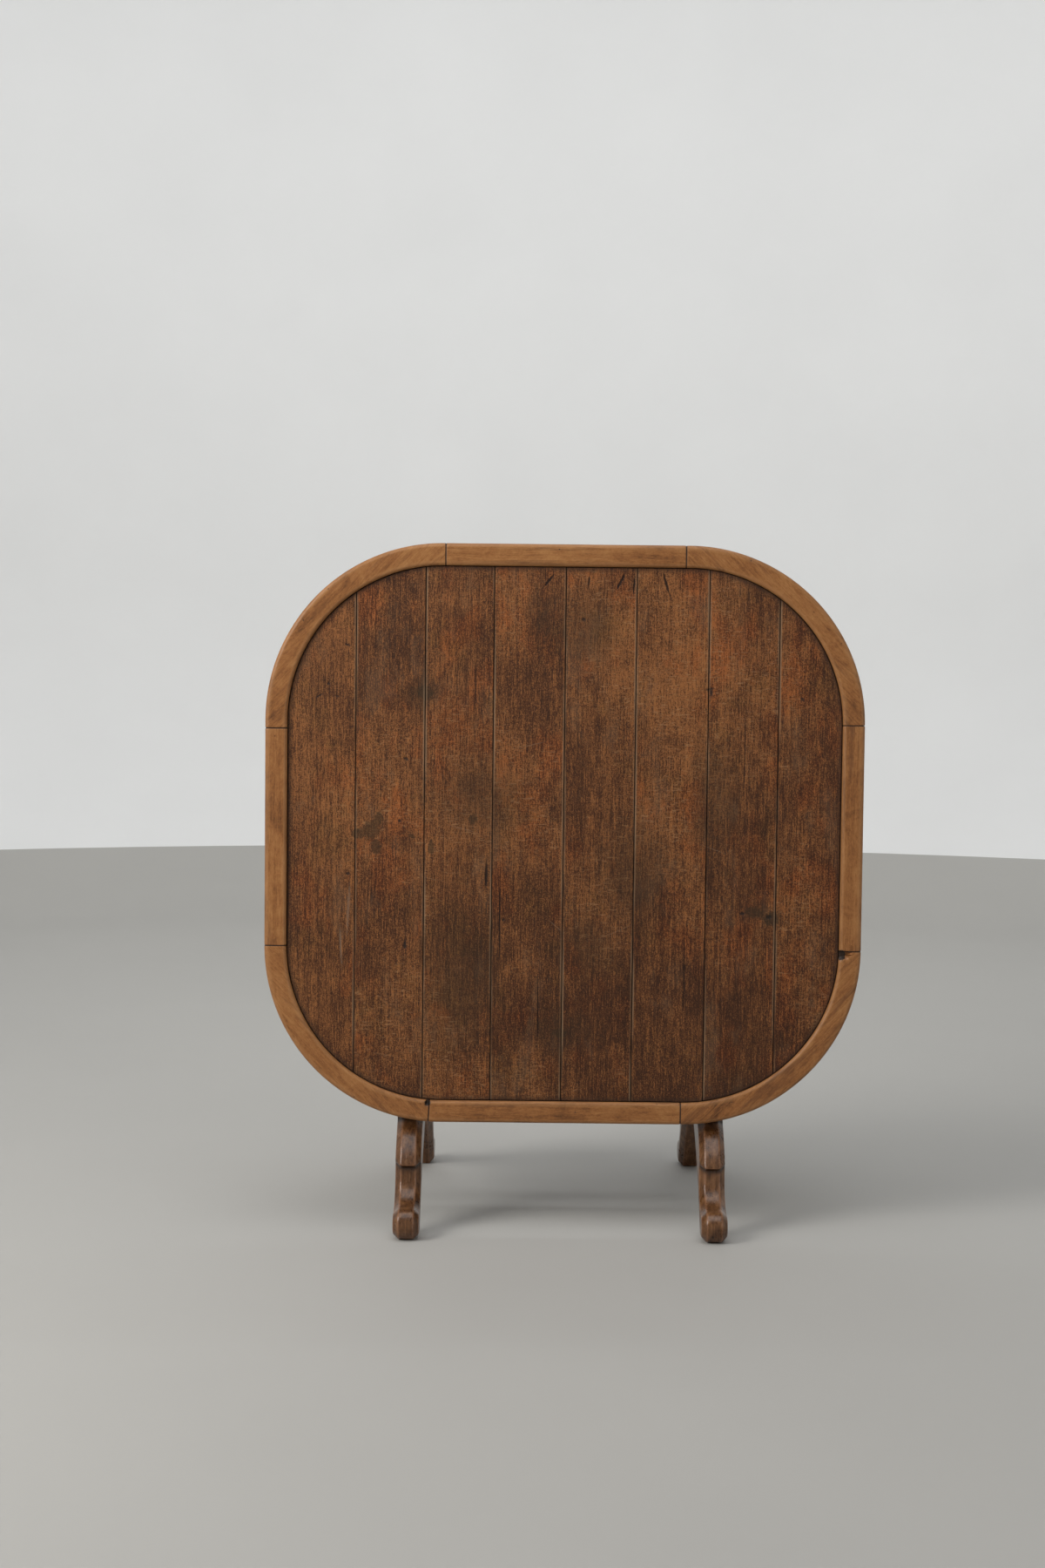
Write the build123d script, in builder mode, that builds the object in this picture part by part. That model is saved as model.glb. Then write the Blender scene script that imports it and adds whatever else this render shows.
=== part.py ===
"""Tilt-top oak table, drawn with its top tipped up and resting against the front legs.

Millimetres. +X to the right, -Y towards the front, +Z up. The origin is on the floor,
midway between the four feet. The top turns on two iron bolts until it lies level on
the pivot blocks, where a sliding brass bolt holds it to the upper rail.
"""
import os
from math import degrees, radians, sin

from build123d import *

# ---- driving dimensions: top ----
TOP_WIDTH = 1000.0          # across the planks
TOP_LENGTH = 970.0          # along the planks
CORNER_RADIUS = 296.0       # outer corner of the rim
RIM_WIDTH = 37.0
RIM_HEIGHT = 29.0
RIM_INNER_ROUND = 6.5       # rounded lip beside the planks
RIM_OUTER_ROUND = 7.0
RIM_UNDER_ROUND = 3.0
PLANK_COUNT = 8
PLANK_THICKNESS = 22.0
SEAM_GAP = 0.9
SEAM_SHIFTS = (-1.8, -2.2, -3.9, -0.7, 1.7, 6.9, 8.8)   # hand-sawn planks are not alike
TONGUE_THICKNESS = 7.0
TONGUE_DEPTH = 10.0         # into the rim
SPLINE_DEPTH = 9.0          # into each plank edge

# ---- driving dimensions: rim joints ----
# Clockwise from the top left: how far each corner piece runs past its arc at its
# start and at its end. Minus means that the joint is inside the arc.
JOINT_OFFSETS = {
    "top_left": (14.0, 3.0),
    "top_right": (6.0, 0.0),
    "bottom_right": (0.0, 3.0),
    "bottom_left": (-19.0, 0.0),
}
KEY_LENGTH = 44.0
KEY_WIDTH = 14.0
KEY_THICKNESS = 7.0
KEY_SHOULDER = 3.0
PIN_RADIUS = 1.6
PIN_PROUD = 0.3
PIN_FROM_JOINT = 13.0
JOINT_GAP = 0.5             # shrinkage shows as a fine open line
# Worn nicks in the rim's inner edge, at a corner's start joint: length, width, depth.
CHIPS = {"bottom_right": (15.0, 16.0, 5.0), "bottom_left": (9.0, 9.0, 5.0)}
CHIP_SLOPE = 2.0            # how far the far side of a nick leans
CHIP_OVERRUN = 1.0          # the cutter runs out past the wood

# ---- driving dimensions: battens, bearers and pivot ----
BATTEN_WIDTH = 60.0
BATTEN_THICKNESS = 26.0
BATTEN_FROM_END = 150.0     # batten's middle, from the end of the top
BATTEN_END_GAP = 12.0       # short of the rim
BATTEN_EDGE = 4.0
BATTEN_SCREW_ACROSS = 15.0  # from the middle of a plank, one each way
BATTEN_SCREW_ALONG = 12.0   # from the middle of the batten, one each way
BEARER_THICKNESS = 26.0
BEARER_END_DEPTH = 42.0
BEARER_LOBE = 34.0          # radius of wood round the pivot
BEARER_GAP = 1.5            # between bearer and block
BEARER_END_GAP = 3.0        # between bearer and batten
BEARER_SWELL = 110.0        # from the pivot to where the bearer begins to deepen
BEARER_NOSE = 18.0
BEARER_EDGE = 3.0
BEARER_SCREWS = (28.0, 74.0) # from each end of a bearer
PIVOT_DEPTH = 88.0          # pivot below the underside of the top
PIVOT_RISE = 110.0          # middle of the tipped top above the pivot
PIVOT_RADIUS = 6.0
PIVOT_CLEARANCE = 0.08
WASHER_RADIUS = 15.0
WASHER_THICKNESS = 2.5
SPACER_THICKNESS = 1.3
NUT_SIZE = 19.0             # across the flats
NUT_HEIGHT = 10.0
BOLT_END = 3.0              # thread standing past the nut
HEAD_RADIUS = 13.0
HEAD_HEIGHT = 8.0
NUT_EDGE = 1.0
PIVOT_SLACK = 0.2           # between bearer and outer washer

# ---- driving dimensions: base ----
TRESTLE_SPACING = 510.0     # between the middles of the two ends
TOP_BOTTOM_Z = 182.0        # lower end of the tipped top above the floor
COLUMN_THICKNESS = 52.0
COLUMN_DEPTH = 120.0
COLUMN_EDGE = 3.0
ARCH_HEIGHT = 165.0
LEG_THICKNESS = 44.0
LEG_CHAMFER = 9.5
LEG_TOP_Z = 486.0
FOOT_REACH = 313.0          # tip of the toe from the middle of the base
TOE_RADIUS = 26.0
TOE_TIP_Z = 24.7            # where the toe reaches furthest
HOLLOW_SETBACK = 62.4       # deepest of the hollow above the toe, behind the tip
HOLLOW_Z = 71.5
LEDGE_Z = 113.0
LEDGE_DEPTH = 9.0
LEDGE_SETBACK = 62.0        # ledge behind the tip of the toe
LEDGE_DROP = 3.0
LEG_BELLY = 5.0             # swell of the face between ledge and rim
TOE_FLAT_START = 20.0       # flat of the foot, behind the tip of the toe
TOE_HEEL = 50.0
ARCH_HAUNCH = 118.0         # arch at half its height, behind the tip of the toe
BLOCK_REAR = 150.0
BLOCK_TAIL = 60.0           # radius under the rear end
BLOCK_UNDER_PIVOT = 32.0
BLOCK_EDGE = 4.0
BLOCK_CHIN = 0.4            # shares of the nose's radius, and of the depth under the pivot
BLOCK_JAW_OUT = 0.8
BLOCK_JAW_DOWN = 0.72
REST_CLEARANCE = 0.5        # between the swinging top and the base
STOP_GAP = 0.3              # between the batten and the legs it leans on
STOP_MARGIN = 10.0          # flat on the leg past each edge of the batten
CROOK_OUT = 0.38            # middle of the leg's upper curve, as shares of its spread
CROOK_DOWN = 0.66
RAKE_CLEARANCE = 7.0        # between the leg and the lower end of the tipped top
STRETCHER_Z = 205.0
STRETCHER_HEIGHT = 86.0
STRETCHER_THICKNESS = 34.0
STRETCHER_EDGE = 5.0
TENON_EDGE = 2.0
TENON_SHOULDER = 7.0
TUSK_OVERHANG = 42.0
WEDGE_WIDTH = 11.0
WEDGE_THICK_TOP = 17.0
WEDGE_THICK_BOTTOM = 12.0
WEDGE_OVERHANG = 16.0
RAIL_THICKNESS = 30.0
RAIL_HEIGHT = 70.0
RAIL_Y = 99.0
RAIL_TENON = 20.0
BLOCK_TENON = 44.0
BLOCK_TENON_THICKNESS = 18.0
BLOCK_TENON_DEPTH = 76.0
DOWEL_RADIUS = 6.0
DOWEL_DEPTH = 35.0
DOWEL_COUNT = 3
DOWEL_EDGE = 45.0
PEG_RADIUS = 5.0
PEG_PROUD = 0.4

# ---- driving dimensions: screws and catch ----
SCREW_RADIUS = 2.4
SCREW_HEAD_RADIUS = 5.0
SCREW_HEAD_HEIGHT = 3.0
SCREW_BITE = 13.0           # into the planks
SCREW_SLOT = 1.1
SCREW_TURN = 25.0           # degrees that the slots are turned
CATCH_WIDTH = 34.0
CATCH_LENGTH = 58.0
CATCH_HEIGHT = 18.0
CATCH_FLANGE = 3.0
CATCH_EAR = 14.0            # flange standing past the housing on each side
CATCH_SWING_GAP = 10.0      # from keep to housing, so that the housing swings past
CATCH_TRAVEL = 21.0
LATCH_WIDTH = 12.0
LATCH_THICKNESS = 6.0
LATCH_DEPTH = 12.0          # latch's middle below the underside
LATCH_FIT = 0.15
LATCH_LENGTH = 46.0
LATCH_BACKSET = 1.0         # drawn tip, behind the housing's end
LATCH_TIP = 1.2
CATCH_EDGE = 1.5
STEM_FROM_END = 17.0
STEM_FIT = 0.3
KNOB_STEM_RADIUS = 2.5
KNOB_RADIUS = 8.0
KNOB_HEIGHT = 11.0
KNOB_FOOT = 0.6             # radius under the knob, as a share
KNOB_GAP = 1.5
KEEP_WIDTH = 42.0
KEEP_HEIGHT = 22.0
KEEP_THICKNESS = 2.0
KEEP_POCKET = 12.0
KEEP_FIT = 0.5
KEEP_ROUND = 3.0
KEEP_SCREW_INSET = 6.5
SMALL_SCREW_RADIUS = 1.5
SMALL_HEAD_RADIUS = 3.0
SMALL_HEAD_HEIGHT = 1.6
SMALL_BITE = 9.0

# ---- places worked out from the dimensions ----
SIDES = {"left": -1, "right": 1}
ENDS = {"front": -1, "rear": 1}
TOP_CENTRE_Z = TOP_BOTTOM_Z + TOP_LENGTH / 2
PIVOT_Z = TOP_CENTRE_Z - PIVOT_RISE
PIVOT_Y = -PIVOT_RISE       # the level top is then centred over the base
UNDERSIDE_Y = PIVOT_Y - PIVOT_DEPTH
BLOCK_TOP_Z = PIVOT_Z + PIVOT_DEPTH - REST_CLEARANCE
BLOCK_BOTTOM_Z = PIVOT_Z - BLOCK_UNDER_PIVOT
FIELD_WIDTH = TOP_WIDTH - 2 * RIM_WIDTH
FIELD_LENGTH = TOP_LENGTH - 2 * RIM_WIDTH
FIELD_RADIUS = CORNER_RADIUS - RIM_WIDTH
TONGUE_Z = (PLANK_THICKNESS - TONGUE_THICKNESS) / 2
COLUMN_INNER = (TRESTLE_SPACING - COLUMN_THICKNESS) / 2
COLUMN_OUTER = COLUMN_INNER + COLUMN_THICKNESS
BEARER_INNER = COLUMN_OUTER + BEARER_GAP
BEARER_OUTER = BEARER_INNER + BEARER_THICKNESS
BATTEN_OFFSET = TOP_LENGTH / 2 - BATTEN_FROM_END
CORNER_STEP = max(0.0, CORNER_RADIUS - BATTEN_FROM_END + BATTEN_WIDTH / 2)
CORNER_INSET = CORNER_RADIUS - (CORNER_RADIUS**2 - CORNER_STEP**2) ** 0.5
BATTEN_HALF = TOP_WIDTH / 2 - CORNER_INSET - RIM_WIDTH - BATTEN_END_GAP
LEG_STOP = -(UNDERSIDE_Y + BATTEN_THICKNESS) - STOP_GAP
LEG_RAKE = -UNDERSIDE_Y - RAKE_CLEARANCE
STOP_LOW_Z = TOP_CENTRE_Z - BATTEN_OFFSET - BATTEN_WIDTH / 2 - STOP_MARGIN
STOP_HIGH_Z = STOP_LOW_Z + BATTEN_WIDTH + 2 * STOP_MARGIN
KEY_FROM_PLANKS = TONGUE_DEPTH + KEY_SHOULDER + KEY_WIDTH / 2
KEY_HEIGHT = TONGUE_Z + TONGUE_THICKNESS / 2
PIN_BOTTOM = KEY_HEIGHT - KEY_THICKNESS / 2
KEEP_Z = PIVOT_Z + PIVOT_DEPTH - LATCH_DEPTH
STEM_REST = CATCH_LENGTH / 2 - STEM_FROM_END
KEEP_FACE_Y = RAIL_Y + RAIL_THICKNESS / 2 + KEEP_THICKNESS
CATCH_START = KEEP_FACE_Y - PIVOT_Y + CATCH_SWING_GAP      # from the pivot, along the top
CATCH_CENTRE_Z = PIVOT_Z + CATCH_START + CATCH_LENGTH / 2

# Local x is +X, local y is +Z and local z points forwards out of the top's underside.
TOP_PLANE = Plane(origin=(0, UNDERSIDE_Y, TOP_CENTRE_Z), x_dir=(1, 0, 0), z_dir=(0, -1, 0))

os.makedirs("parts", exist_ok=True)


def finish(part, name):
    """Label a finished piece and write it."""
    part.label = name
    export_step(part, f"parts/{name}.step")


def x_plane(x):
    """A plane facing +X at x: local x is +Y and local y is +Z."""
    return Plane.YZ.offset(x)


def low_x(side, inner, outer):
    """The lower X of a piece between two distances from the middle, on one side."""
    return min(side * inner, side * outer)


def bevelled_slab(outline, start, thickness, bevel):
    """A slab between two X, from outline(x), bevelled all round both of its faces."""
    extrude(outline(start + bevel), amount=thickness - 2 * bevel)
    extrude(outline(start + thickness - bevel), amount=bevel, taper=45)
    extrude(outline(start + bevel), amount=-bevel, taper=45)


# ---- planks ----
def seam_positions():
    """X of every plank edge, from the left rim to the right rim."""
    pitch = FIELD_WIDTH / PLANK_COUNT
    edges = [-FIELD_WIDTH / 2]
    for index, shift in enumerate(SEAM_SHIFTS, start=1):
        edges.append(-FIELD_WIDTH / 2 + index * pitch + shift)
    edges.append(FIELD_WIDTH / 2)
    return edges


SEAMS = seam_positions()
PLANK_CENTRES = [(a + b) / 2 for a, b in zip(SEAMS, SEAMS[1:])]


def batten_screw_points():
    """X and Z' (from the middle of the top) of the batten screws, two to a plank."""
    points = []
    for row in (-1, 1):
        for x in PLANK_CENTRES:
            if abs(x) < BATTEN_HALF - 2 * SCREW_HEAD_RADIUS:
                for step in (-1, 1):
                    points.append((x + step * BATTEN_SCREW_ACROSS,
                                   row * BATTEN_OFFSET + step * BATTEN_SCREW_ALONG))
    return points


def bearer_span():
    """Lower and upper end of the bearers, measured from the middle of the top."""
    reach = BATTEN_OFFSET - BATTEN_WIDTH / 2 - BEARER_END_GAP
    return -reach, reach


def bearer_screw_points():
    """X and Z' of the bearer screws, two near each end of each bearer."""
    low, high = bearer_span()
    middle = (BEARER_INNER + BEARER_OUTER) / 2
    heights = [low + inset for inset in BEARER_SCREWS] + [high - inset for inset in BEARER_SCREWS]
    return [(side * middle, height) for side in SIDES.values() for height in heights]


def catch_screw_places():
    """X and Z' of the catch's screws."""
    rise = CATCH_CENTRE_Z - TOP_CENTRE_Z
    return [(x, y + rise) for x, y in catch_screw_points()]


def cut_screw_holes(points, x_low, x_high, radius, depth):
    """Holes in the underside of the plank being built, wherever they fall across it."""
    inside = [p for p in points if x_low - radius < p[0] < x_high + radius]
    if inside:
        with BuildSketch(TOP_PLANE) as holes:
            with Locations(*inside):
                Circle(radius)
        extrude(holes.sketch, amount=depth, mode=Mode.SUBTRACT)


def build_plank(index):
    left_gap = SEAM_GAP / 2 if index > 0 else -TONGUE_DEPTH
    right_gap = SEAM_GAP / 2 if index < PLANK_COUNT - 1 else -TONGUE_DEPTH
    x_low = SEAMS[index] + left_gap
    x_high = SEAMS[index + 1] - right_gap
    middle, width = (x_low + x_high) / 2, x_high - x_low
    with BuildPart() as plank:
        with BuildSketch(TOP_PLANE):
            RectangleRounded(FIELD_WIDTH, FIELD_LENGTH, FIELD_RADIUS)
            with Locations((middle, 0)):
                Rectangle(width, TOP_LENGTH, mode=Mode.INTERSECT)
        extrude(amount=PLANK_THICKNESS)
        with BuildSketch(TOP_PLANE.offset(TONGUE_Z)):
            RectangleRounded(FIELD_WIDTH + 2 * TONGUE_DEPTH, FIELD_LENGTH + 2 * TONGUE_DEPTH,
                             FIELD_RADIUS + TONGUE_DEPTH)
            with Locations((middle, 0)):
                Rectangle(width, TOP_LENGTH, mode=Mode.INTERSECT)
        extrude(amount=TONGUE_THICKNESS)
        edges = []
        if index > 0:
            edges.append((x_low + SPLINE_DEPTH / 2, 0))
        if index < PLANK_COUNT - 1:
            edges.append((x_high - SPLINE_DEPTH / 2, 0))
        with BuildSketch(TOP_PLANE.offset(TONGUE_Z)):
            with Locations(*edges):
                Rectangle(SPLINE_DEPTH, TOP_LENGTH)
        extrude(amount=TONGUE_THICKNESS, mode=Mode.SUBTRACT)
        for points in (batten_screw_points(), bearer_screw_points()):
            cut_screw_holes(points, x_low, x_high, SCREW_RADIUS, SCREW_BITE)
        cut_screw_holes(catch_screw_places(), x_low, x_high, SMALL_SCREW_RADIUS, SMALL_BITE)
    finish(plank.part, f"plank_{index + 1}")


def build_plank_tongues():
    """Loose tongues in the grooves between neighbouring planks, drilled where a screw meets one."""
    with BuildPart() as tongues:
        with BuildSketch(TOP_PLANE.offset(TONGUE_Z)):
            with Locations(*[(x, 0) for x in SEAMS[1:-1]]):
                Rectangle(2 * SPLINE_DEPTH + SEAM_GAP, TOP_LENGTH)
            RectangleRounded(FIELD_WIDTH + 2 * TONGUE_DEPTH, FIELD_LENGTH + 2 * TONGUE_DEPTH,
                             FIELD_RADIUS + TONGUE_DEPTH, mode=Mode.INTERSECT)
        extrude(amount=TONGUE_THICKNESS)
        for points in (batten_screw_points(), bearer_screw_points()):
            cut_screw_holes(points, SEAMS[0], SEAMS[-1], SCREW_RADIUS, SCREW_BITE)
        cut_screw_holes(catch_screw_places(), SEAMS[0], SEAMS[-1], SMALL_SCREW_RADIUS, SMALL_BITE)
    finish(tongues.part, "plank_tongues")


# ---- rim ----
def rim_profile(plane):
    """Section of the rim: local x runs outwards from the planks, local y to the face."""
    lip_y = RIM_HEIGHT - RIM_INNER_ROUND
    with BuildSketch(plane) as profile:
        with BuildLine():
            FilletPolyline((0, 0), (RIM_WIDTH, 0), (RIM_WIDTH, RIM_HEIGHT / 2), radius=RIM_UNDER_ROUND)
            FilletPolyline((RIM_WIDTH, RIM_HEIGHT / 2), (RIM_WIDTH, RIM_HEIGHT),
                           (RIM_INNER_ROUND, RIM_HEIGHT), radius=RIM_OUTER_ROUND)
            RadiusArc((RIM_INNER_ROUND, RIM_HEIGHT), (0, lip_y), RIM_INNER_ROUND)
            Line((0, lip_y), (0, 0))
        make_face()
        with Locations((TONGUE_DEPTH / 2, TONGUE_Z + TONGUE_THICKNESS / 2)):
            Rectangle(TONGUE_DEPTH, TONGUE_THICKNESS, mode=Mode.SUBTRACT)
    return profile.sketch


CORNERS = {
    "top_left": (-1, 1, 180.0),         # side, end and the direction of the arc's start
    "top_right": (1, 1, 90.0),
    "bottom_right": (1, -1, 0.0),
    "bottom_left": (-1, -1, -90.0),
}
RAILS = {
    "top": ("top_left", "top_right"),
    "right": ("top_right", "bottom_right"),
    "bottom": ("bottom_right", "bottom_left"),
    "left": ("bottom_left", "top_left"),
}


def outward(angle):
    """Direction out of the top's edge, as an angle in the top's plane."""
    return Vector(1, 0, 0).rotate(Axis.Y, -angle)


def clockwise(angle):
    """Direction along the edge, clockwise as seen from the front."""
    return outward(angle - 90)


def corner_centre(corner):
    """Centre of a corner's arc, on the underside."""
    side, end, _ = CORNERS[corner]
    return Vector(side * (TOP_WIDTH / 2 - CORNER_RADIUS), UNDERSIDE_Y,
                  TOP_CENTRE_Z + end * (TOP_LENGTH / 2 - CORNER_RADIUS))


def section_plane(corner, angle, along=0.0):
    """Plane across the rim: local x outwards from the planks, y to the face, z clockwise."""
    middle = corner_centre(corner) + outward(angle) * FIELD_RADIUS + clockwise(angle) * along
    return Plane(origin=middle, x_dir=outward(angle), z_dir=clockwise(angle))


def arc_degrees(length):
    """Angle that a length takes along the outer edge of a corner."""
    return degrees(length / CORNER_RADIUS)


def joint_plane(corner, end):
    """Section plane at a corner's start joint (end 0) or end joint (end 1)."""
    start = CORNERS[corner][2]
    offset = JOINT_OFFSETS[corner][end]
    angle = start - 90.0 * end
    toward_rail = 1 if end else -1
    if offset >= 0:
        return section_plane(corner, angle, toward_rail * offset)
    return section_plane(corner, angle + toward_rail * arc_degrees(-offset))


def add_bar(corner, angle, start, length):
    """A straight length of rim, beginning at a distance along the edge from the arc's end."""
    profile = rim_profile(section_plane(corner, angle, start))
    extrude(profile, amount=length)


def add_arc(corner, start_angle, sweep):
    """A curved length of rim, clockwise from an angle."""
    profile = rim_profile(section_plane(corner, start_angle))
    revolve(profile, axis=Axis(corner_centre(corner), (0, 1, 0)), revolution_arc=sweep)


def cut_key_and_pins(corner, end):
    """The mortise for a joint's key and the holes for its pins."""
    plane = joint_plane(corner, end)
    with BuildSketch(plane) as slot:
        with Locations((KEY_FROM_PLANKS, KEY_HEIGHT)):
            Rectangle(KEY_WIDTH, KEY_THICKNESS)
    extrude(slot.sketch, amount=KEY_LENGTH / 2, both=True, mode=Mode.SUBTRACT)
    cut_pins(plane)


def pin_sketch(plane, radius):
    """The two pin circles of a joint, on the face of the rim."""
    face = Plane(origin=plane.origin, x_dir=plane.x_dir, z_dir=plane.y_dir)
    with BuildSketch(face.offset(PIN_BOTTOM)) as circles:
        with Locations((KEY_FROM_PLANKS, PIN_FROM_JOINT), (KEY_FROM_PLANKS, -PIN_FROM_JOINT)):
            Circle(radius)
    return circles.sketch


def cut_pins(plane):
    extrude(pin_sketch(plane, PIN_RADIUS), amount=RIM_HEIGHT, mode=Mode.SUBTRACT)


def build_rim_corner(corner):
    start_angle = CORNERS[corner][2]
    before, after = JOINT_OFFSETS[corner]
    trim = arc_degrees(JOINT_GAP / 2)
    lead = arc_degrees(-before) + trim if before <= 0 else 0.0
    tail = arc_degrees(-after) + trim if after <= 0 else 0.0
    with BuildPart() as piece:
        add_arc(corner, start_angle - lead, 90.0 - lead - tail)
        if before > 0:
            add_bar(corner, start_angle, JOINT_GAP / 2 - before, before - JOINT_GAP / 2)
        if after > 0:
            add_bar(corner, start_angle - 90.0, 0.0, after - JOINT_GAP / 2)
        cut_key_and_pins(corner, 0)
        cut_key_and_pins(corner, 1)
        if corner in CHIPS:
            cut_chip(corner)
    finish(piece.part, f"rim_corner_{corner}")


def build_rim_straight(name):
    first, last = RAILS[name]
    angle = CORNERS[last][2]
    span = (corner_centre(last) - corner_centre(first)).length
    start = JOINT_OFFSETS[first][1]
    end = JOINT_OFFSETS[last][0]
    trim = arc_degrees(JOINT_GAP / 2)
    bar_start = max(start, 0.0) + (JOINT_GAP / 2 if start >= 0 else 0.0)
    bar_end = max(end, 0.0) + (JOINT_GAP / 2 if end >= 0 else 0.0)
    with BuildPart() as piece:
        add_bar(first, angle, bar_start, span - bar_start - bar_end)
        if start < 0:
            sweep = arc_degrees(-start) - trim
            add_arc(first, angle + sweep, sweep)
        if end < 0:
            add_arc(last, angle, arc_degrees(-end) - trim)
        cut_key_and_pins(first, 1)
        cut_key_and_pins(last, 0)
    finish(piece.part, f"rim_straight_{name}")


def cut_chip(corner):
    """A worn nick in the inner edge of the rim, at the corner's start joint."""
    along, across, depth = CHIPS[corner]
    plane = joint_plane(corner, 0)
    with BuildSketch(plane) as nick:
        with BuildLine():
            Polyline((-CHIP_OVERRUN, RIM_HEIGHT + CHIP_OVERRUN), (across, RIM_HEIGHT + CHIP_OVERRUN),
                     (across - CHIP_SLOPE, RIM_HEIGHT - depth), (-CHIP_OVERRUN, PLANK_THICKNESS),
                     close=True)
        make_face()
    extrude(nick.sketch, amount=along, mode=Mode.SUBTRACT)


def build_rim_keys():
    """Loose tenons across the rim's joints."""
    with BuildPart() as keys:
        for corner in CORNERS:
            for end in (0, 1):
                plane = joint_plane(corner, end)
                with BuildSketch(plane):
                    with Locations((KEY_FROM_PLANKS, KEY_HEIGHT)):
                        Rectangle(KEY_WIDTH, KEY_THICKNESS)
                extrude(amount=KEY_LENGTH / 2, both=True)
                cut_pins(plane)
    finish(keys.part, "rim_keys")


def build_rim_pins():
    """Small pins through the rim and its keys, a little proud of the face."""
    with BuildPart() as pins:
        for corner in CORNERS:
            for end in (0, 1):
                circles = pin_sketch(joint_plane(corner, end), PIN_RADIUS)
                extrude(circles, amount=RIM_HEIGHT - PIN_BOTTOM + PIN_PROUD)
    finish(pins.part, "rim_pins")


# ---- battens and bearers ----
def build_batten(name, row):
    """A cross batten: bevelled at its ends and screwed up into every plank."""
    centre = row * BATTEN_OFFSET
    back = TOP_PLANE.offset(-BATTEN_THICKNESS)
    with BuildPart() as batten:
        with BuildSketch(TOP_PLANE):
            with Locations((0, centre)):
                Rectangle(2 * BATTEN_HALF, BATTEN_WIDTH)
        extrude(amount=-BATTEN_THICKNESS)
        ends = batten.faces().filter_by(Axis.X)
        chamfer(ends.edges().filter_by(Axis.Z).group_by(Axis.Y)[-1], BATTEN_THICKNESS / 2)
        long_edges = batten.edges().filter_by(Axis.X).group_by(Axis.Y)[-1]
        chamfer(long_edges, BATTEN_EDGE)
        inside = [p for p in batten_screw_points() if p[1] * row > 0]
        with BuildSketch(back):
            with Locations(*inside):
                Circle(SCREW_RADIUS)
        extrude(amount=BATTEN_THICKNESS, mode=Mode.SUBTRACT)
        with BuildSketch(back):
            with Locations(*inside):
                Circle(SCREW_HEAD_RADIUS)
        extrude(amount=SCREW_HEAD_HEIGHT, mode=Mode.SUBTRACT)
    finish(batten.part, name)


def screw_group(points, name, wood_depth, head_radius):
    """Wood screws seen from the back of the top, each with a slotted countersunk head."""
    back = TOP_PLANE.offset(-wood_depth)
    with BuildPart() as screws:
        with BuildSketch(back):
            with Locations(*points):
                Circle(head_radius)
        extrude(amount=SCREW_HEAD_HEIGHT)
        with BuildSketch(back):
            with Locations(*points):
                Circle(SCREW_RADIUS)
        extrude(amount=wood_depth + SCREW_BITE)
        with BuildSketch(back):
            with Locations(*points):
                Rectangle(2 * head_radius, SCREW_SLOT, rotation=SCREW_TURN)
        extrude(amount=SCREW_SLOT, mode=Mode.SUBTRACT)
    finish(screws.part, name)


def bearer_outline(x):
    """Thin at its ends and deep where it carries the pivot; it starts inside the planks."""
    low, high = bearer_span()
    bottom, top = TOP_CENTRE_Z + low, TOP_CENTRE_Z + high
    back_y = UNDERSIDE_Y + BEARER_END_DEPTH
    lobe_y = PIVOT_Y + BEARER_LOBE
    start_y = UNDERSIDE_Y - 2 * BEARER_EDGE
    bend = BEARER_NOSE * (1 - sin(radians(45)))
    with BuildSketch(x_plane(x)) as outline:
        with BuildLine():
            Polyline((back_y - BEARER_NOSE, bottom), (start_y, bottom), (start_y, top),
                     (back_y - BEARER_NOSE, top))
            for sign, end in ((1, top), (-1, bottom)):
                ThreePointArc((back_y - BEARER_NOSE, end), (back_y - bend, end - sign * bend),
                              (back_y, end - sign * BEARER_NOSE))
                Line((back_y, end - sign * BEARER_NOSE), (back_y, PIVOT_Z + sign * BEARER_SWELL))
                TangentArc((back_y, PIVOT_Z + sign * BEARER_SWELL),
                           (PIVOT_Y, PIVOT_Z + sign * BEARER_LOBE), tangent=(0, -sign))
            ThreePointArc((PIVOT_Y, PIVOT_Z + BEARER_LOBE), (lobe_y, PIVOT_Z),
                          (PIVOT_Y, PIVOT_Z - BEARER_LOBE))
        make_face()
    return outline.sketch


def build_bearer(name, side):
    """A fore-and-aft bearer, screwed to the planks, with a running hole for the pivot."""
    start = low_x(side, BEARER_INNER, BEARER_OUTER)
    points = [p for p in bearer_screw_points() if p[0] * side > 0]
    back = TOP_PLANE.offset(-BEARER_END_DEPTH)
    with BuildPart() as bearer:
        bevelled_slab(bearer_outline, start, BEARER_THICKNESS, BEARER_EDGE)
        split(bisect_by=Plane(origin=(0, UNDERSIDE_Y, 0), z_dir=(0, 1, 0)), keep=Keep.TOP)
        with BuildSketch(x_plane(start)):
            with Locations((PIVOT_Y, PIVOT_Z)):
                Circle(PIVOT_RADIUS + PIVOT_CLEARANCE)
        extrude(amount=BEARER_THICKNESS, mode=Mode.SUBTRACT)
        with BuildSketch(back):
            with Locations(*points):
                Circle(SCREW_RADIUS)
        extrude(amount=BEARER_END_DEPTH, mode=Mode.SUBTRACT)
        with BuildSketch(back):
            with Locations(*points):
                Circle(SCREW_HEAD_RADIUS)
        extrude(amount=SCREW_HEAD_HEIGHT, mode=Mode.SUBTRACT)
    finish(bearer.part, name)


# ---- trestle ends ----
def dowel_heights():
    """Z of the dowels between a leg and its column."""
    low, high = ARCH_HEIGHT + DOWEL_EDGE, STOP_HIGH_Z - DOWEL_EDGE / 2
    return [low + (high - low) * i / (DOWEL_COUNT - 1) for i in range(DOWEL_COUNT)]


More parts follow.
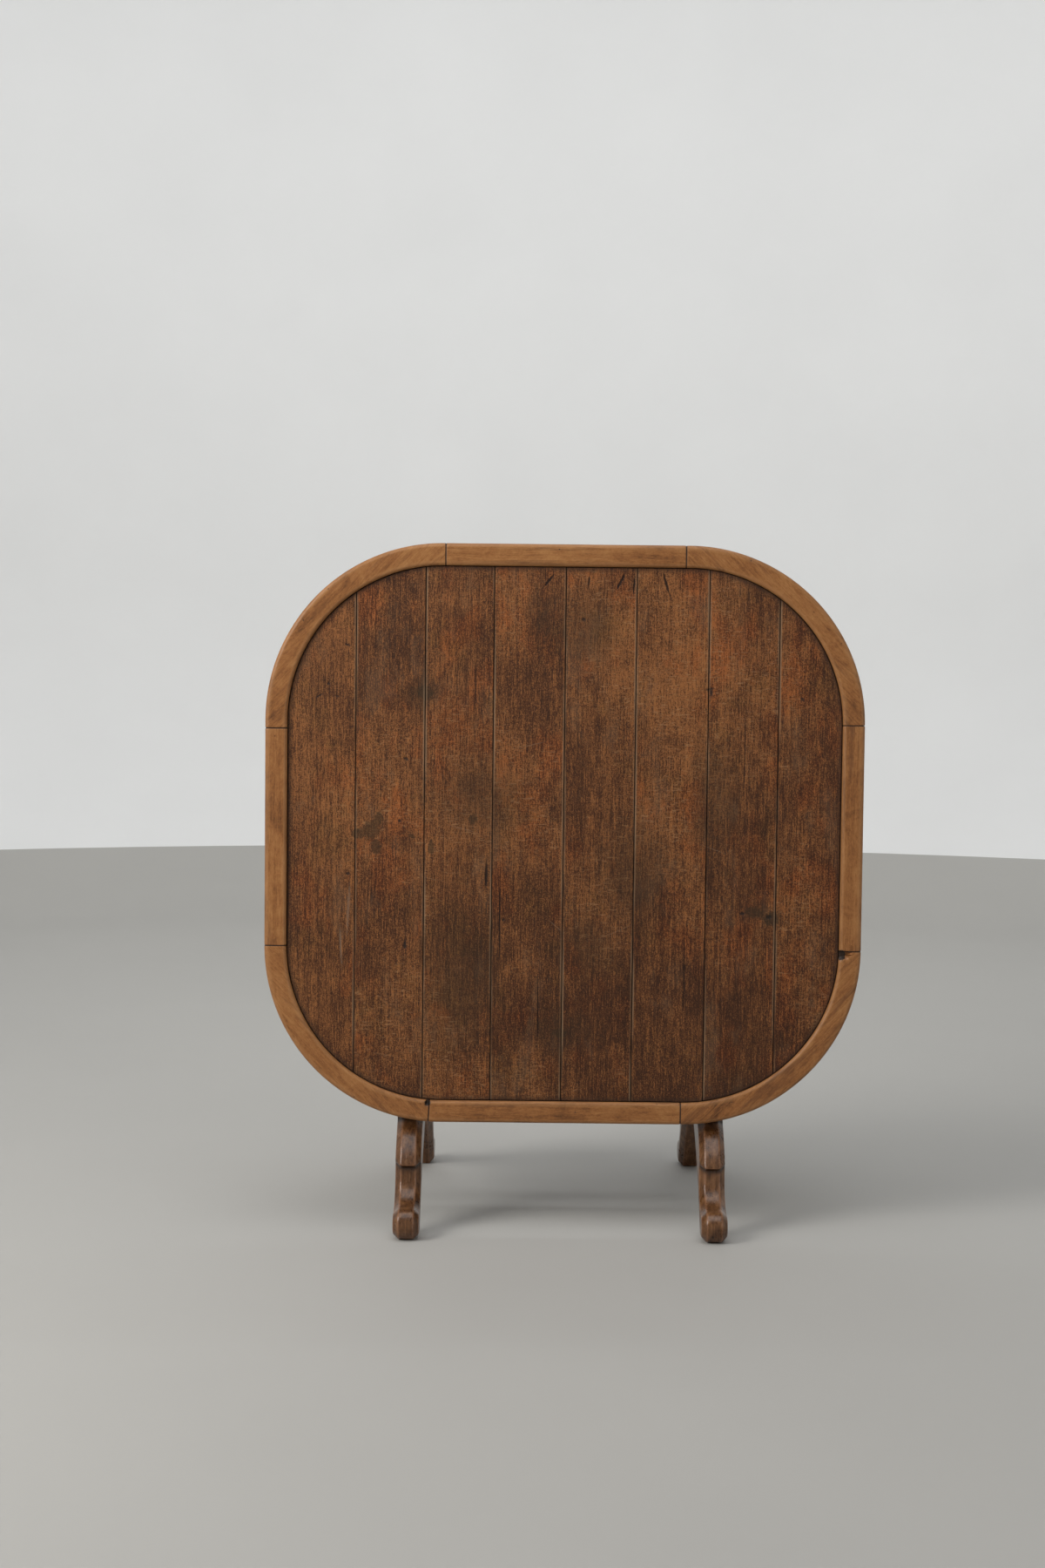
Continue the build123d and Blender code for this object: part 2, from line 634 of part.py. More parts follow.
def leg_outline(x, end):
    """Rounded toe, hollow, ledge, raked face, flat for the batten, hollow top and arch.

    It runs on past the column's face, so that the joint is left square when it is cut.
    """
    tip, stop, post = FOOT_REACH, LEG_STOP, COLUMN_DEPTH / 2
    inside = post - 2 * LEG_CHAMFER
    ledge = tip - LEDGE_SETBACK

    def at(reach, height):
        return (end * reach, height)

    with BuildSketch(x_plane(x)) as outline:
        with BuildLine():
            Line(at(tip - TOE_HEEL, 0), at(tip - TOE_FLAT_START, 0))
            ThreePointArc(at(tip - TOE_FLAT_START, 0), at(tip, TOE_TIP_Z),
                          at(tip - TOE_RADIUS, 2 * TOE_RADIUS))
            ThreePointArc(at(tip - TOE_RADIUS, 2 * TOE_RADIUS),
                          at(tip - HOLLOW_SETBACK, HOLLOW_Z),
                          at(ledge - LEDGE_DEPTH, LEDGE_Z - LEDGE_DROP))
            Line(at(ledge - LEDGE_DEPTH, LEDGE_Z - LEDGE_DROP), at(ledge, LEDGE_Z))
            ThreePointArc(at(ledge, LEDGE_Z), at((ledge + LEG_RAKE) / 2 + LEG_BELLY,
                          (LEDGE_Z + TOP_BOTTOM_Z) / 2 + LEG_BELLY), at(LEG_RAKE, TOP_BOTTOM_Z))
            Polyline(at(LEG_RAKE, TOP_BOTTOM_Z), at(stop, STOP_LOW_Z), at(stop, STOP_HIGH_Z))
            ThreePointArc(at(stop, STOP_HIGH_Z),
                          at(post + (stop - post) * CROOK_OUT,
                             LEG_TOP_Z - (LEG_TOP_Z - STOP_HIGH_Z) * CROOK_DOWN),
                          at(post, LEG_TOP_Z))
            Polyline(at(post, LEG_TOP_Z), at(inside, LEG_TOP_Z + 4 * LEG_CHAMFER),
                     at(inside, ARCH_HEIGHT), at(post, ARCH_HEIGHT))
            ThreePointArc(at(post, ARCH_HEIGHT), at(tip - ARCH_HAUNCH, ARCH_HEIGHT / 2),
                          at(tip - TOE_HEEL, 0))
        make_face()
    return outline.sketch


def build_leg(name, side, end):
    """One leg, bevelled round its whole outline and square where it meets the column."""
    start = low_x(side, (TRESTLE_SPACING - LEG_THICKNESS) / 2,
                  (TRESTLE_SPACING + LEG_THICKNESS) / 2)
    joint = Plane(origin=(0, end * COLUMN_DEPTH / 2, 0), z_dir=(0, end, 0))
    with BuildPart() as leg:
        bevelled_slab(lambda x: leg_outline(x, end), start, LEG_THICKNESS, LEG_CHAMFER)
        split(bisect_by=joint, keep=Keep.TOP)
        cut_dowel_holes(side, end)
    finish(leg.part, name)


def cut_dowel_holes(side, end):
    """Blind holes for the dowels, on both sides of the joint between leg and column."""
    middle = side * TRESTLE_SPACING / 2
    with BuildSketch(Plane.XZ.offset(-end * COLUMN_DEPTH / 2)) as holes:
        with Locations(*[(middle, z) for z in dowel_heights()]):
            Circle(DOWEL_RADIUS)
    extrude(holes.sketch, amount=DOWEL_DEPTH, both=True, mode=Mode.SUBTRACT)


def build_leg_dowels():
    with BuildPart() as dowels:
        for side in SIDES.values():
            for end in ENDS.values():
                middle = side * TRESTLE_SPACING / 2
                with BuildSketch(Plane.XZ.offset(-end * COLUMN_DEPTH / 2)):
                    with Locations(*[(middle, z) for z in dowel_heights()]):
                        Circle(DOWEL_RADIUS)
                extrude(amount=DOWEL_DEPTH, both=True)
    finish(dowels.part, "leg_dowels")


def tenon_sketch(x):
    """Section of the stretcher's tenon."""
    with BuildSketch(x_plane(x)) as section:
        with Locations((0, STRETCHER_Z + STRETCHER_HEIGHT / 2)):
            Rectangle(STRETCHER_THICKNESS - 2 * TENON_SHOULDER,
                      STRETCHER_HEIGHT - 2 * 2 * TENON_SHOULDER)
    return section.sketch


def build_column(name, side):
    start = low_x(side, COLUMN_INNER, COLUMN_OUTER)
    middle = side * TRESTLE_SPACING / 2
    with BuildPart() as column:
        with BuildSketch(Plane.XY.offset(ARCH_HEIGHT)):
            with Locations((middle, 0)):
                Rectangle(COLUMN_THICKNESS, COLUMN_DEPTH)
        extrude(amount=BLOCK_BOTTOM_Z - ARCH_HEIGHT)
        chamfer(column.edges().filter_by(Axis.Z), COLUMN_EDGE)
        with BuildSketch(Plane.XY.offset(BLOCK_BOTTOM_Z)):
            with Locations((middle, 0)):
                Rectangle(BLOCK_TENON_THICKNESS, BLOCK_TENON_DEPTH)
        extrude(amount=BLOCK_TENON)
        extrude(tenon_sketch(start), amount=COLUMN_THICKNESS, mode=Mode.SUBTRACT)
        for end in ENDS.values():
            cut_dowel_holes(side, end)
        cut_block_peg(start)
    finish(column.part, name)


def peg_sketch(x):
    with BuildSketch(x_plane(x)) as circle:
        with Locations((0, BLOCK_BOTTOM_Z + BLOCK_TENON / 2)):
            Circle(PEG_RADIUS)
    return circle.sketch


def cut_block_peg(x):
    extrude(peg_sketch(x), amount=COLUMN_THICKNESS, mode=Mode.SUBTRACT)


def build_block_pegs():
    with BuildPart() as pegs:
        for side in SIDES.values():
            start = low_x(side, COLUMN_INNER, COLUMN_OUTER)
            extrude(peg_sketch(start - PEG_PROUD), amount=COLUMN_THICKNESS + 2 * PEG_PROUD)
    finish(pegs.part, "block_pegs")


def rail_tenon_sketch(x):
    with BuildSketch(x_plane(x)) as section:
        with Locations((RAIL_Y, BLOCK_TOP_Z - RAIL_HEIGHT / 2)):
            Rectangle(RAIL_THICKNESS - 2 * TENON_SHOULDER, RAIL_HEIGHT - 4 * TENON_SHOULDER)
    return section.sketch


def block_outline(x):
    """A block whose nose is round the pivot, so that the top can swing over it."""
    nose = PIVOT_DEPTH - REST_CLEARANCE
    lean = nose * sin(radians(45))
    chin = PIVOT_Y - nose * BLOCK_CHIN
    tail = BLOCK_REAR - BLOCK_TAIL
    with BuildSketch(x_plane(x)) as outline:
        with BuildLine():
            ThreePointArc((PIVOT_Y, BLOCK_TOP_Z), (PIVOT_Y - lean, PIVOT_Z + lean),
                          (PIVOT_Y - nose, PIVOT_Z))
            ThreePointArc((PIVOT_Y - nose, PIVOT_Z),
                          (PIVOT_Y - nose * BLOCK_JAW_OUT, PIVOT_Z - BLOCK_UNDER_PIVOT * BLOCK_JAW_DOWN),
                          (chin, BLOCK_BOTTOM_Z))
            Line((chin, BLOCK_BOTTOM_Z), (tail, BLOCK_BOTTOM_Z))
            TangentArc((tail, BLOCK_BOTTOM_Z), (BLOCK_REAR, BLOCK_BOTTOM_Z + BLOCK_TAIL),
                       tangent=(1, 0))
            Polyline((BLOCK_REAR, BLOCK_BOTTOM_Z + BLOCK_TAIL), (BLOCK_REAR, BLOCK_TOP_Z),
                     (PIVOT_Y, BLOCK_TOP_Z))
        make_face()
    return outline.sketch


def build_pivot_block(name, side):
    """The fore-and-aft block on a column, with sockets for the column and the rail."""
    start = low_x(side, COLUMN_INNER, COLUMN_OUTER)
    with BuildPart() as block:
        bevelled_slab(block_outline, start, COLUMN_THICKNESS, BLOCK_EDGE)
        with BuildSketch(x_plane(start)):
            with Locations((PIVOT_Y, PIVOT_Z)):
                Circle(PIVOT_RADIUS)
        extrude(amount=COLUMN_THICKNESS, mode=Mode.SUBTRACT)
        with BuildSketch(Plane.XY.offset(BLOCK_BOTTOM_Z)):
            with Locations((side * TRESTLE_SPACING / 2, 0)):
                Rectangle(BLOCK_TENON_THICKNESS, BLOCK_TENON_DEPTH)
        extrude(amount=BLOCK_TENON, mode=Mode.SUBTRACT)
        socket = rail_tenon_sketch(side * COLUMN_INNER)
        extrude(socket, amount=side * RAIL_TENON, mode=Mode.SUBTRACT)
        cut_block_peg(start)
    finish(block.part, name)


# ---- rails between the ends ----
def tusk_sketch(side):
    """Taper of a tusk wedge, on the plane through the middle of the stretcher."""
    face = side * COLUMN_OUTER
    top = STRETCHER_Z + STRETCHER_HEIGHT - 2 * TENON_SHOULDER + WEDGE_OVERHANG
    bottom = STRETCHER_Z + 2 * TENON_SHOULDER - WEDGE_OVERHANG
    with BuildSketch(Plane.XZ.offset(-WEDGE_WIDTH / 2)) as taper:
        with BuildLine():
            Polyline((face, top), (face + side * WEDGE_THICK_TOP, top),
                     (face + side * WEDGE_THICK_BOTTOM, bottom), (face, bottom), close=True)
        make_face()
    return taper.sketch


def build_lower_stretcher():
    """A stretcher on edge, with tenons through the columns and mortises for the wedges."""
    tenon_end = COLUMN_OUTER + TUSK_OVERHANG
    with BuildPart() as stretcher:
        with BuildSketch(x_plane(-COLUMN_INNER)):
            with Locations((0, STRETCHER_Z + STRETCHER_HEIGHT / 2)):
                Rectangle(STRETCHER_THICKNESS, STRETCHER_HEIGHT)
        extrude(amount=2 * COLUMN_INNER)
        chamfer(stretcher.edges().filter_by(Axis.X), STRETCHER_EDGE)
        extrude(tenon_sketch(-tenon_end), amount=2 * tenon_end)
        tips = stretcher.faces().filter_by(Axis.X).group_by(Axis.X)
        chamfer(tips[0].edges() + tips[-1].edges(), TENON_EDGE)
        for side in SIDES.values():
            extrude(tusk_sketch(side), amount=WEDGE_WIDTH, mode=Mode.SUBTRACT)
    finish(stretcher.part, "lower_stretcher")


def build_tusk_wedges():
    with BuildPart() as wedges:
        for side in SIDES.values():
            extrude(tusk_sketch(side), amount=WEDGE_WIDTH)
    finish(wedges.part, "tusk_wedges")


def build_upper_rail():
    """The rail between the blocks, with a pocket for the catch."""
    low = BLOCK_TOP_Z - RAIL_HEIGHT
    with BuildPart() as rail:
        with BuildSketch(x_plane(-COLUMN_INNER)):
            with Locations((RAIL_Y, low + RAIL_HEIGHT / 2)):
                Rectangle(RAIL_THICKNESS, RAIL_HEIGHT)
        extrude(amount=2 * COLUMN_INNER)
        chamfer(rail.edges().filter_by(Axis.X).group_by(Axis.Z)[0], STRETCHER_EDGE)
        tenon_end = COLUMN_INNER + RAIL_TENON
        extrude(rail_tenon_sketch(-tenon_end), amount=2 * tenon_end)
        rear = Plane.XZ.offset(-(RAIL_Y + RAIL_THICKNESS / 2))
        with BuildSketch(rear):
            with Locations((0, KEEP_Z)):
                Rectangle(LATCH_WIDTH + 2 * KEEP_FIT, LATCH_THICKNESS + 2 * KEEP_FIT)
        extrude(amount=KEEP_POCKET, mode=Mode.SUBTRACT)
        with BuildSketch(rear):
            with Locations(*keep_screw_points()):
                Circle(SMALL_SCREW_RADIUS)
        extrude(amount=SMALL_BITE, mode=Mode.SUBTRACT)
    finish(rail.part, "upper_rail")


def keep_screw_points():
    return [(side * (KEEP_WIDTH / 2 - KEEP_SCREW_INSET), KEEP_Z) for side in SIDES.values()]


# ---- pivots ----
def build_pivot_bolts():
    """Round-headed bolts through bearer and block, threaded at the inner end."""
    inner = COLUMN_INNER - WASHER_THICKNESS - NUT_HEIGHT - BOLT_END
    head = BEARER_OUTER + PIVOT_SLACK + WASHER_THICKNESS
    with BuildPart() as bolts:
        for side in SIDES.values():
            with BuildSketch(x_plane(side * inner)):
                with Locations((PIVOT_Y, PIVOT_Z)):
                    Circle(PIVOT_RADIUS)
            extrude(amount=side * (head - inner))
            dome_radius = (HEAD_RADIUS**2 + HEAD_HEIGHT**2) / (2 * HEAD_HEIGHT)
            with BuildSketch(Plane(origin=(side * head, PIVOT_Y, PIVOT_Z), x_dir=(0, 1, 0),
                                   z_dir=(0, 0, 1))):
                with BuildLine():
                    Line((0, 0), (HEAD_RADIUS, 0))
                    RadiusArc((HEAD_RADIUS, 0), (0, -side * HEAD_HEIGHT), side * dome_radius)
                    Line((0, -side * HEAD_HEIGHT), (0, 0))
                make_face()
            revolve(axis=Axis((0, PIVOT_Y, PIVOT_Z), (1, 0, 0)))
    finish(bolts.part, "pivot_bolts")


def build_pivot_washers():
    """Washers under nut and head, and the spacer between block and bearer."""
    gap = (BEARER_GAP - SPACER_THICKNESS) / 2
    rings = [
        (COLUMN_INNER - WASHER_THICKNESS, WASHER_THICKNESS),
        (COLUMN_OUTER + gap, SPACER_THICKNESS),
        (BEARER_OUTER + PIVOT_SLACK, WASHER_THICKNESS),
    ]
    with BuildPart() as washers:
        for side in SIDES.values():
            for start, thickness in rings:
                with BuildSketch(x_plane(side * start)):
                    with Locations((PIVOT_Y, PIVOT_Z)):
                        Circle(WASHER_RADIUS)
                        Circle(PIVOT_RADIUS, mode=Mode.SUBTRACT)
                extrude(amount=side * thickness)
    finish(washers.part, "pivot_washers")


def build_pivot_nuts():
    start = COLUMN_INNER - WASHER_THICKNESS - NUT_HEIGHT
    with BuildPart() as nuts:
        for side in SIDES.values():
            with BuildSketch(x_plane(side * start)):
                with Locations((PIVOT_Y, PIVOT_Z)):
                    RegularPolygon(NUT_SIZE / 2, 6, major_radius=False)
                    Circle(PIVOT_RADIUS, mode=Mode.SUBTRACT)
            extrude(amount=side * NUT_HEIGHT)
        chamfer(nuts.edges().filter_by(GeomType.LINE).filter_by(Axis.X, reverse=True), NUT_EDGE)
    finish(nuts.part, "pivot_nuts")


# ---- catch ----
def catch_plane():
    """On the underside at the catch: local x is +X, y is +Z and z goes away from the planks."""
    return Plane(origin=(0, UNDERSIDE_Y, CATCH_CENTRE_Z), x_dir=(-1, 0, 0), z_dir=(0, 1, 0))


def catch_screw_points():
    across = CATCH_WIDTH / 2 + CATCH_EAR / 2
    return [(sx * across, sy * CATCH_LENGTH / 3) for sx in (-1, 1) for sy in (-1, 1)]


def build_catch_housing():
    """A cast housing on a flange, with a channel for the latch and a slot for its stem."""
    plane = catch_plane()
    with BuildPart() as housing:
        with BuildSketch(plane):
            RectangleRounded(CATCH_WIDTH + 2 * CATCH_EAR, CATCH_LENGTH, CATCH_EAR / 2)
        extrude(amount=CATCH_FLANGE)
        with BuildSketch(plane):
            Rectangle(CATCH_WIDTH, CATCH_LENGTH)
        extrude(amount=CATCH_HEIGHT)
        chamfer(housing.faces().sort_by(Axis.Y)[-1].edges(), CATCH_EDGE)
        channel_low = LATCH_DEPTH - LATCH_THICKNESS / 2 - LATCH_FIT
        with BuildSketch(plane.offset(channel_low)):
            with Locations((0, LATCH_FIT)):
                Rectangle(LATCH_WIDTH + 2 * LATCH_FIT, CATCH_LENGTH + 2 * LATCH_FIT)
        extrude(amount=LATCH_THICKNESS + 2 * LATCH_FIT, mode=Mode.SUBTRACT)
        slot = CATCH_TRAVEL + 2 * KNOB_STEM_RADIUS + 2 * STEM_FIT
        with BuildSketch(plane.offset(LATCH_DEPTH)):
            with Locations((0, STEM_REST - CATCH_TRAVEL / 2)):
                SlotOverall(slot, 2 * (KNOB_STEM_RADIUS + STEM_FIT), rotation=90)
        extrude(amount=CATCH_HEIGHT, mode=Mode.SUBTRACT)
        cut_catch_screws(plane, CATCH_FLANGE)
    finish(housing.part, "catch_housing")


def cut_catch_screws(plane, depth):
    with BuildSketch(plane) as holes:
        with Locations(*catch_screw_points()):
            Circle(SMALL_SCREW_RADIUS)
    extrude(holes.sketch, amount=depth, mode=Mode.SUBTRACT)


def build_catch_latch():
    """The sliding latch: a flat bar with a bevelled tip."""
    plane = catch_plane().offset(LATCH_DEPTH - LATCH_THICKNESS / 2)
    low = -CATCH_LENGTH / 2 + LATCH_BACKSET
    with BuildPart() as latch:
        with BuildSketch(plane):
            with Locations((0, low + LATCH_LENGTH / 2)):
                Rectangle(LATCH_WIDTH, LATCH_LENGTH)
        extrude(amount=LATCH_THICKNESS)
        tip = latch.faces().sort_by(Axis.Z)[0]
        chamfer(tip.edges(), LATCH_TIP)
    finish(latch.part, "catch_latch")


def build_catch_knob():
    """A turned knob on a stem that passes through the housing's slot."""
    stem_start = UNDERSIDE_Y + LATCH_DEPTH + LATCH_THICKNESS / 2
    knob_start = UNDERSIDE_Y + CATCH_HEIGHT + KNOB_GAP
    z = CATCH_CENTRE_Z + STEM_REST
    with BuildPart() as knob:
        with BuildSketch(Plane.XY.offset(z)):
            with BuildLine():
                Line((0, knob_start + KNOB_HEIGHT), (0, knob_start))
                Line((0, knob_start), (KNOB_RADIUS * KNOB_FOOT, knob_start))
                Spline((KNOB_RADIUS * KNOB_FOOT, knob_start), (KNOB_RADIUS, knob_start + KNOB_HEIGHT / 2),
                       (0, knob_start + KNOB_HEIGHT), tangents=((1, 0.3), (-1, 0)))
            make_face()
        revolve(axis=Axis((0, 0, z), (0, 1, 0)))
        with BuildSketch(Plane.XZ.offset(-stem_start)):
            with Locations((0, z)):
                Circle(KNOB_STEM_RADIUS)
        extrude(amount=-(knob_start - stem_start))
    finish(knob.part, "catch_knob")


def build_catch_screws():
    plane = catch_plane()
    with BuildPart() as screws:
        with BuildSketch(plane.offset(CATCH_FLANGE)):
            with Locations(*catch_screw_points()):
                Circle(SMALL_HEAD_RADIUS)
        extrude(amount=SMALL_HEAD_HEIGHT)
        with BuildSketch(plane.offset(CATCH_FLANGE)):
            with Locations(*catch_screw_points()):
                Circle(SMALL_SCREW_RADIUS)
        extrude(amount=-(CATCH_FLANGE + SMALL_BITE))
    finish(screws.part, "catch_screws")


def build_catch_keep():
    """The brass plate on the rear of the upper rail that the latch slides into."""
    with BuildPart() as keep:
        with BuildSketch(Plane.XZ.offset(-(RAIL_Y + RAIL_THICKNESS / 2))):
            with Locations((0, KEEP_Z)):
                RectangleRounded(KEEP_WIDTH, KEEP_HEIGHT, KEEP_ROUND)
                Rectangle(LATCH_WIDTH + 2 * KEEP_FIT, LATCH_THICKNESS + 2 * KEEP_FIT,
                          mode=Mode.SUBTRACT)
            with Locations(*keep_screw_points()):
                Circle(SMALL_SCREW_RADIUS, mode=Mode.SUBTRACT)
        extrude(amount=-KEEP_THICKNESS)
    finish(keep.part, "catch_keep")


def build_keep_screws():
    face = Plane.XZ.offset(-KEEP_FACE_Y)
    with BuildPart() as screws:
        with BuildSketch(face):
            with Locations(*keep_screw_points()):
                Circle(SMALL_HEAD_RADIUS)
        extrude(amount=-SMALL_HEAD_HEIGHT)
        with BuildSketch(face):
            with Locations(*keep_screw_points()):
                Circle(SMALL_SCREW_RADIUS)
        extrude(amount=KEEP_THICKNESS + SMALL_BITE)
    finish(screws.part, "keep_screws")


# ---- the whole table ----
for plank_index in range(PLANK_COUNT):
    build_plank(plank_index)
build_plank_tongues()
for corner_name in CORNERS:
    build_rim_corner(corner_name)
for rail_name in RAILS:
    build_rim_straight(rail_name)
build_rim_keys()
build_rim_pins()
build_batten("batten_lower", -1)
build_batten("batten_upper", 1)
screw_group(batten_screw_points(), "batten_screws", BATTEN_THICKNESS, SCREW_HEAD_RADIUS)
for side_name, side_sign in SIDES.items():
    build_bearer(f"bearer_{side_name}", side_sign)
    build_column(f"column_{side_name}", side_sign)
    build_pivot_block(f"pivot_block_{side_name}", side_sign)
    for end_name, end_sign in ENDS.items():
        build_leg(f"leg_{end_name}_{side_name}", side_sign, end_sign)
screw_group(bearer_screw_points(), "bearer_screws", BEARER_END_DEPTH, SCREW_HEAD_RADIUS)
build_leg_dowels()
build_block_pegs()
build_lower_stretcher()
build_tusk_wedges()
build_upper_rail()
build_pivot_bolts()
build_pivot_washers()
build_pivot_nuts()
build_catch_housing()
build_catch_latch()
build_catch_knob()
build_catch_screws()
build_catch_keep()
build_keep_screws()
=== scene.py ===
"""Old oak tilt-top table: the look of every piece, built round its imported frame."""

from math import asin, ceil, cos, hypot, pi, radians, sin, sqrt

import bmesh
import bpy
from mathutils import Matrix, Vector, noise
from mathutils.kdtree import KDTree


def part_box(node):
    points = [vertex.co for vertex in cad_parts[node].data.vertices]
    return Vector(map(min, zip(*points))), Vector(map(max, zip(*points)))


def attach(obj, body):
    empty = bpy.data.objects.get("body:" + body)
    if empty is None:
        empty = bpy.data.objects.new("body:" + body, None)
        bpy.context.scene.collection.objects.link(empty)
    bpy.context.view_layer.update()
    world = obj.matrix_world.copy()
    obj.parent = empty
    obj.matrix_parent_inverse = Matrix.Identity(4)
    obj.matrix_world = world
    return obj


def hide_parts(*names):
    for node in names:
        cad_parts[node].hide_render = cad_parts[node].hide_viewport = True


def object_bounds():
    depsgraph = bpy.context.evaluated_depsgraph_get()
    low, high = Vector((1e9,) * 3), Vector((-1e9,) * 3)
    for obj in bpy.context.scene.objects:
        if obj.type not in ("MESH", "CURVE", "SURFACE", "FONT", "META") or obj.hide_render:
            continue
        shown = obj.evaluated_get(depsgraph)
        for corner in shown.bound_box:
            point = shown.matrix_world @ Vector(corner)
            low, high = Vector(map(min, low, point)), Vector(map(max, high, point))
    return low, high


bl_info = {
    "name": "Oak tilt-top table",
    "version": (1, 0, 0),
    "blender": (4, 5, 0),
    "location": "3D View > Sidebar > Table",
    "description": "Planks, rim, trestle base, catch and ironwork of an old tilt-top table",
    "category": "Object",
}

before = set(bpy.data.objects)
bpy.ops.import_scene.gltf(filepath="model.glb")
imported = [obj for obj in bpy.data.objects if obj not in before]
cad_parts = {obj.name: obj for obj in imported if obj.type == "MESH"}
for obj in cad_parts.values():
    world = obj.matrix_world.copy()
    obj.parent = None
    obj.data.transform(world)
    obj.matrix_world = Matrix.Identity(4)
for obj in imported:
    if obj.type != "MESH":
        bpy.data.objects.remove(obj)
CAD_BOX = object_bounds()
MM = 0.001
PLANKS = sorted(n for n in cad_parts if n.startswith("plank_") and n[-1].isdigit())
SIDES = ("left", "right")


# ---- sizes and colours that a user would change ----
def colour(name, description, default):
    return bpy.props.FloatVectorProperty(
        name=name, description=description, default=default, subtype="COLOR", min=0.0, max=1.0)


def length(name, description, default):
    return bpy.props.FloatProperty(
        name=name, description=description, default=default, unit="LENGTH", min=0.0)


def share(name, description, default):
    return bpy.props.FloatProperty(name=name, description=description, default=default, min=0.0, max=1.0)


class TableTopSettings(bpy.types.PropertyGroup):
    corner_radius: length("Corner radius", "Outer radius of the rounded corners", 0.296)
    lip_round: length("Lip round", "Rounding of the rim beside the planks", 0.0065)
    outer_round: length("Outer round", "Rounding of the rim's outer edge", 0.007)
    under_round: length("Under round", "Rounding of the rim's lower edge", 0.003)
    arris: length("Worn arris", "Width worn off the edges of each plank", 0.0014)
    shrinkage: length("Shrinkage", "Open groove between the planks and the rim", 0.0011)
    cup: length("Cup", "How far a plank has hollowed across its width", 0.0005)
    plank_deep: colour("Plank deep", "Darkest brown of the planks", (0.034, 0.0122, 0.0050))
    plank_mid: colour("Plank middle", "Usual brown of the planks", (0.104, 0.0370, 0.0118))
    plank_light: colour("Plank light", "Orange brown of the rubbed grain", (0.290, 0.112, 0.034))
    plank_grey: colour("Plank grey", "Bleached and dusty wood", (0.165, 0.098, 0.055))
    rim_deep: colour("Rim deep", "Darkest brown of the rim", (0.092, 0.034, 0.011))
    rim_mid: colour("Rim middle", "Usual brown of the rim", (0.256, 0.101, 0.030))
    rim_light: colour("Rim light", "Palest honey of the rim", (0.390, 0.182, 0.062))
    under_mid: colour("Underside", "Unpolished oak under the top", (0.150, 0.085, 0.046))


class TableBaseSettings(bpy.types.PropertyGroup):
    grid: length("Remesh grid", "Size of the grid that softens the base timbers", 0.0020)
    rounding: bpy.props.IntProperty(
        name="Rounding", description="Smoothing passes that wear the edges round", default=2, min=0)
    base_deep: colour("Base deep", "Darkest polish of the base", (0.026, 0.011, 0.006))
    base_mid: colour("Base middle", "Usual brown of the base", (0.104, 0.042, 0.0135))
    base_light: colour("Base light", "Rubbed brown of the base", (0.235, 0.112, 0.047))
    polish: share("Polish", "Strength of the wax coat on the base", 0.22)


class TableMetalSettings(bpy.types.PropertyGroup):
    iron: colour("Iron", "Forged iron of the pivots and screws", (0.065, 0.060, 0.056))
    rust: colour("Rust", "Rust on the iron", (0.160, 0.058, 0.022))
    brass: colour("Brass", "Polished brass of the catch", (0.600, 0.400, 0.150))
    tarnish: colour("Tarnish", "Dark tarnish on the brass", (0.130, 0.082, 0.035))


class TableStageSettings(bpy.types.PropertyGroup):
    eye: bpy.props.FloatVectorProperty(
        name="Eye", description="Place of the camera", default=(-0.057, -3.851, 0.942), unit="LENGTH")
    pitch: bpy.props.FloatProperty(
        name="Pitch", description="Camera tilt below level", default=radians(2.98), subtype="ANGLE")
    roll: bpy.props.FloatProperty(
        name="Roll", description="Camera roll", default=radians(0.62), subtype="ANGLE")
    lens: bpy.props.FloatProperty(name="Lens", description="Focal length in millimetres", default=50.0)
    shift: bpy.props.FloatProperty(name="Shift", description="Sideways lens shift", default=-0.005)
    floor: colour("Floor", "Pale studio floor", (0.42, 0.41, 0.385))
    wall: colour("Wall", "Pale studio wall", (0.80, 0.80, 0.79))


# ---- shader maths ----
class Wire:
    """A node's output that arithmetic can be written on."""

    def __init__(self, paint, socket):
        self.paint = paint
        self.socket = socket

    def maths(self, operation, other=0.0, swapped=False):
        first, second = (other, self) if swapped else (self, other)
        wires = [w for w in (first, second) if isinstance(w, Wire)]
        if any(w.socket.type == "VECTOR" for w in wires):
            pair = [p if isinstance(p, (Wire, tuple)) else (p, p, p) for p in (first, second)]
            return self.paint.node("ShaderNodeVectorMath", {"operation": operation}, dict(enumerate(pair)))
        return self.paint.node("ShaderNodeMath", {"operation": operation}, {0: first, 1: second})

    def __add__(self, other):
        return self.maths("ADD", other)

    __radd__ = __add__

    def __sub__(self, other):
        return self.maths("SUBTRACT", other)

    def __rsub__(self, other):
        return self.maths("SUBTRACT", other, swapped=True)

    def __mul__(self, other):
        return self.maths("MULTIPLY", other)

    __rmul__ = __mul__

    def smaller(self, other):
        return self.maths("MINIMUM", other)


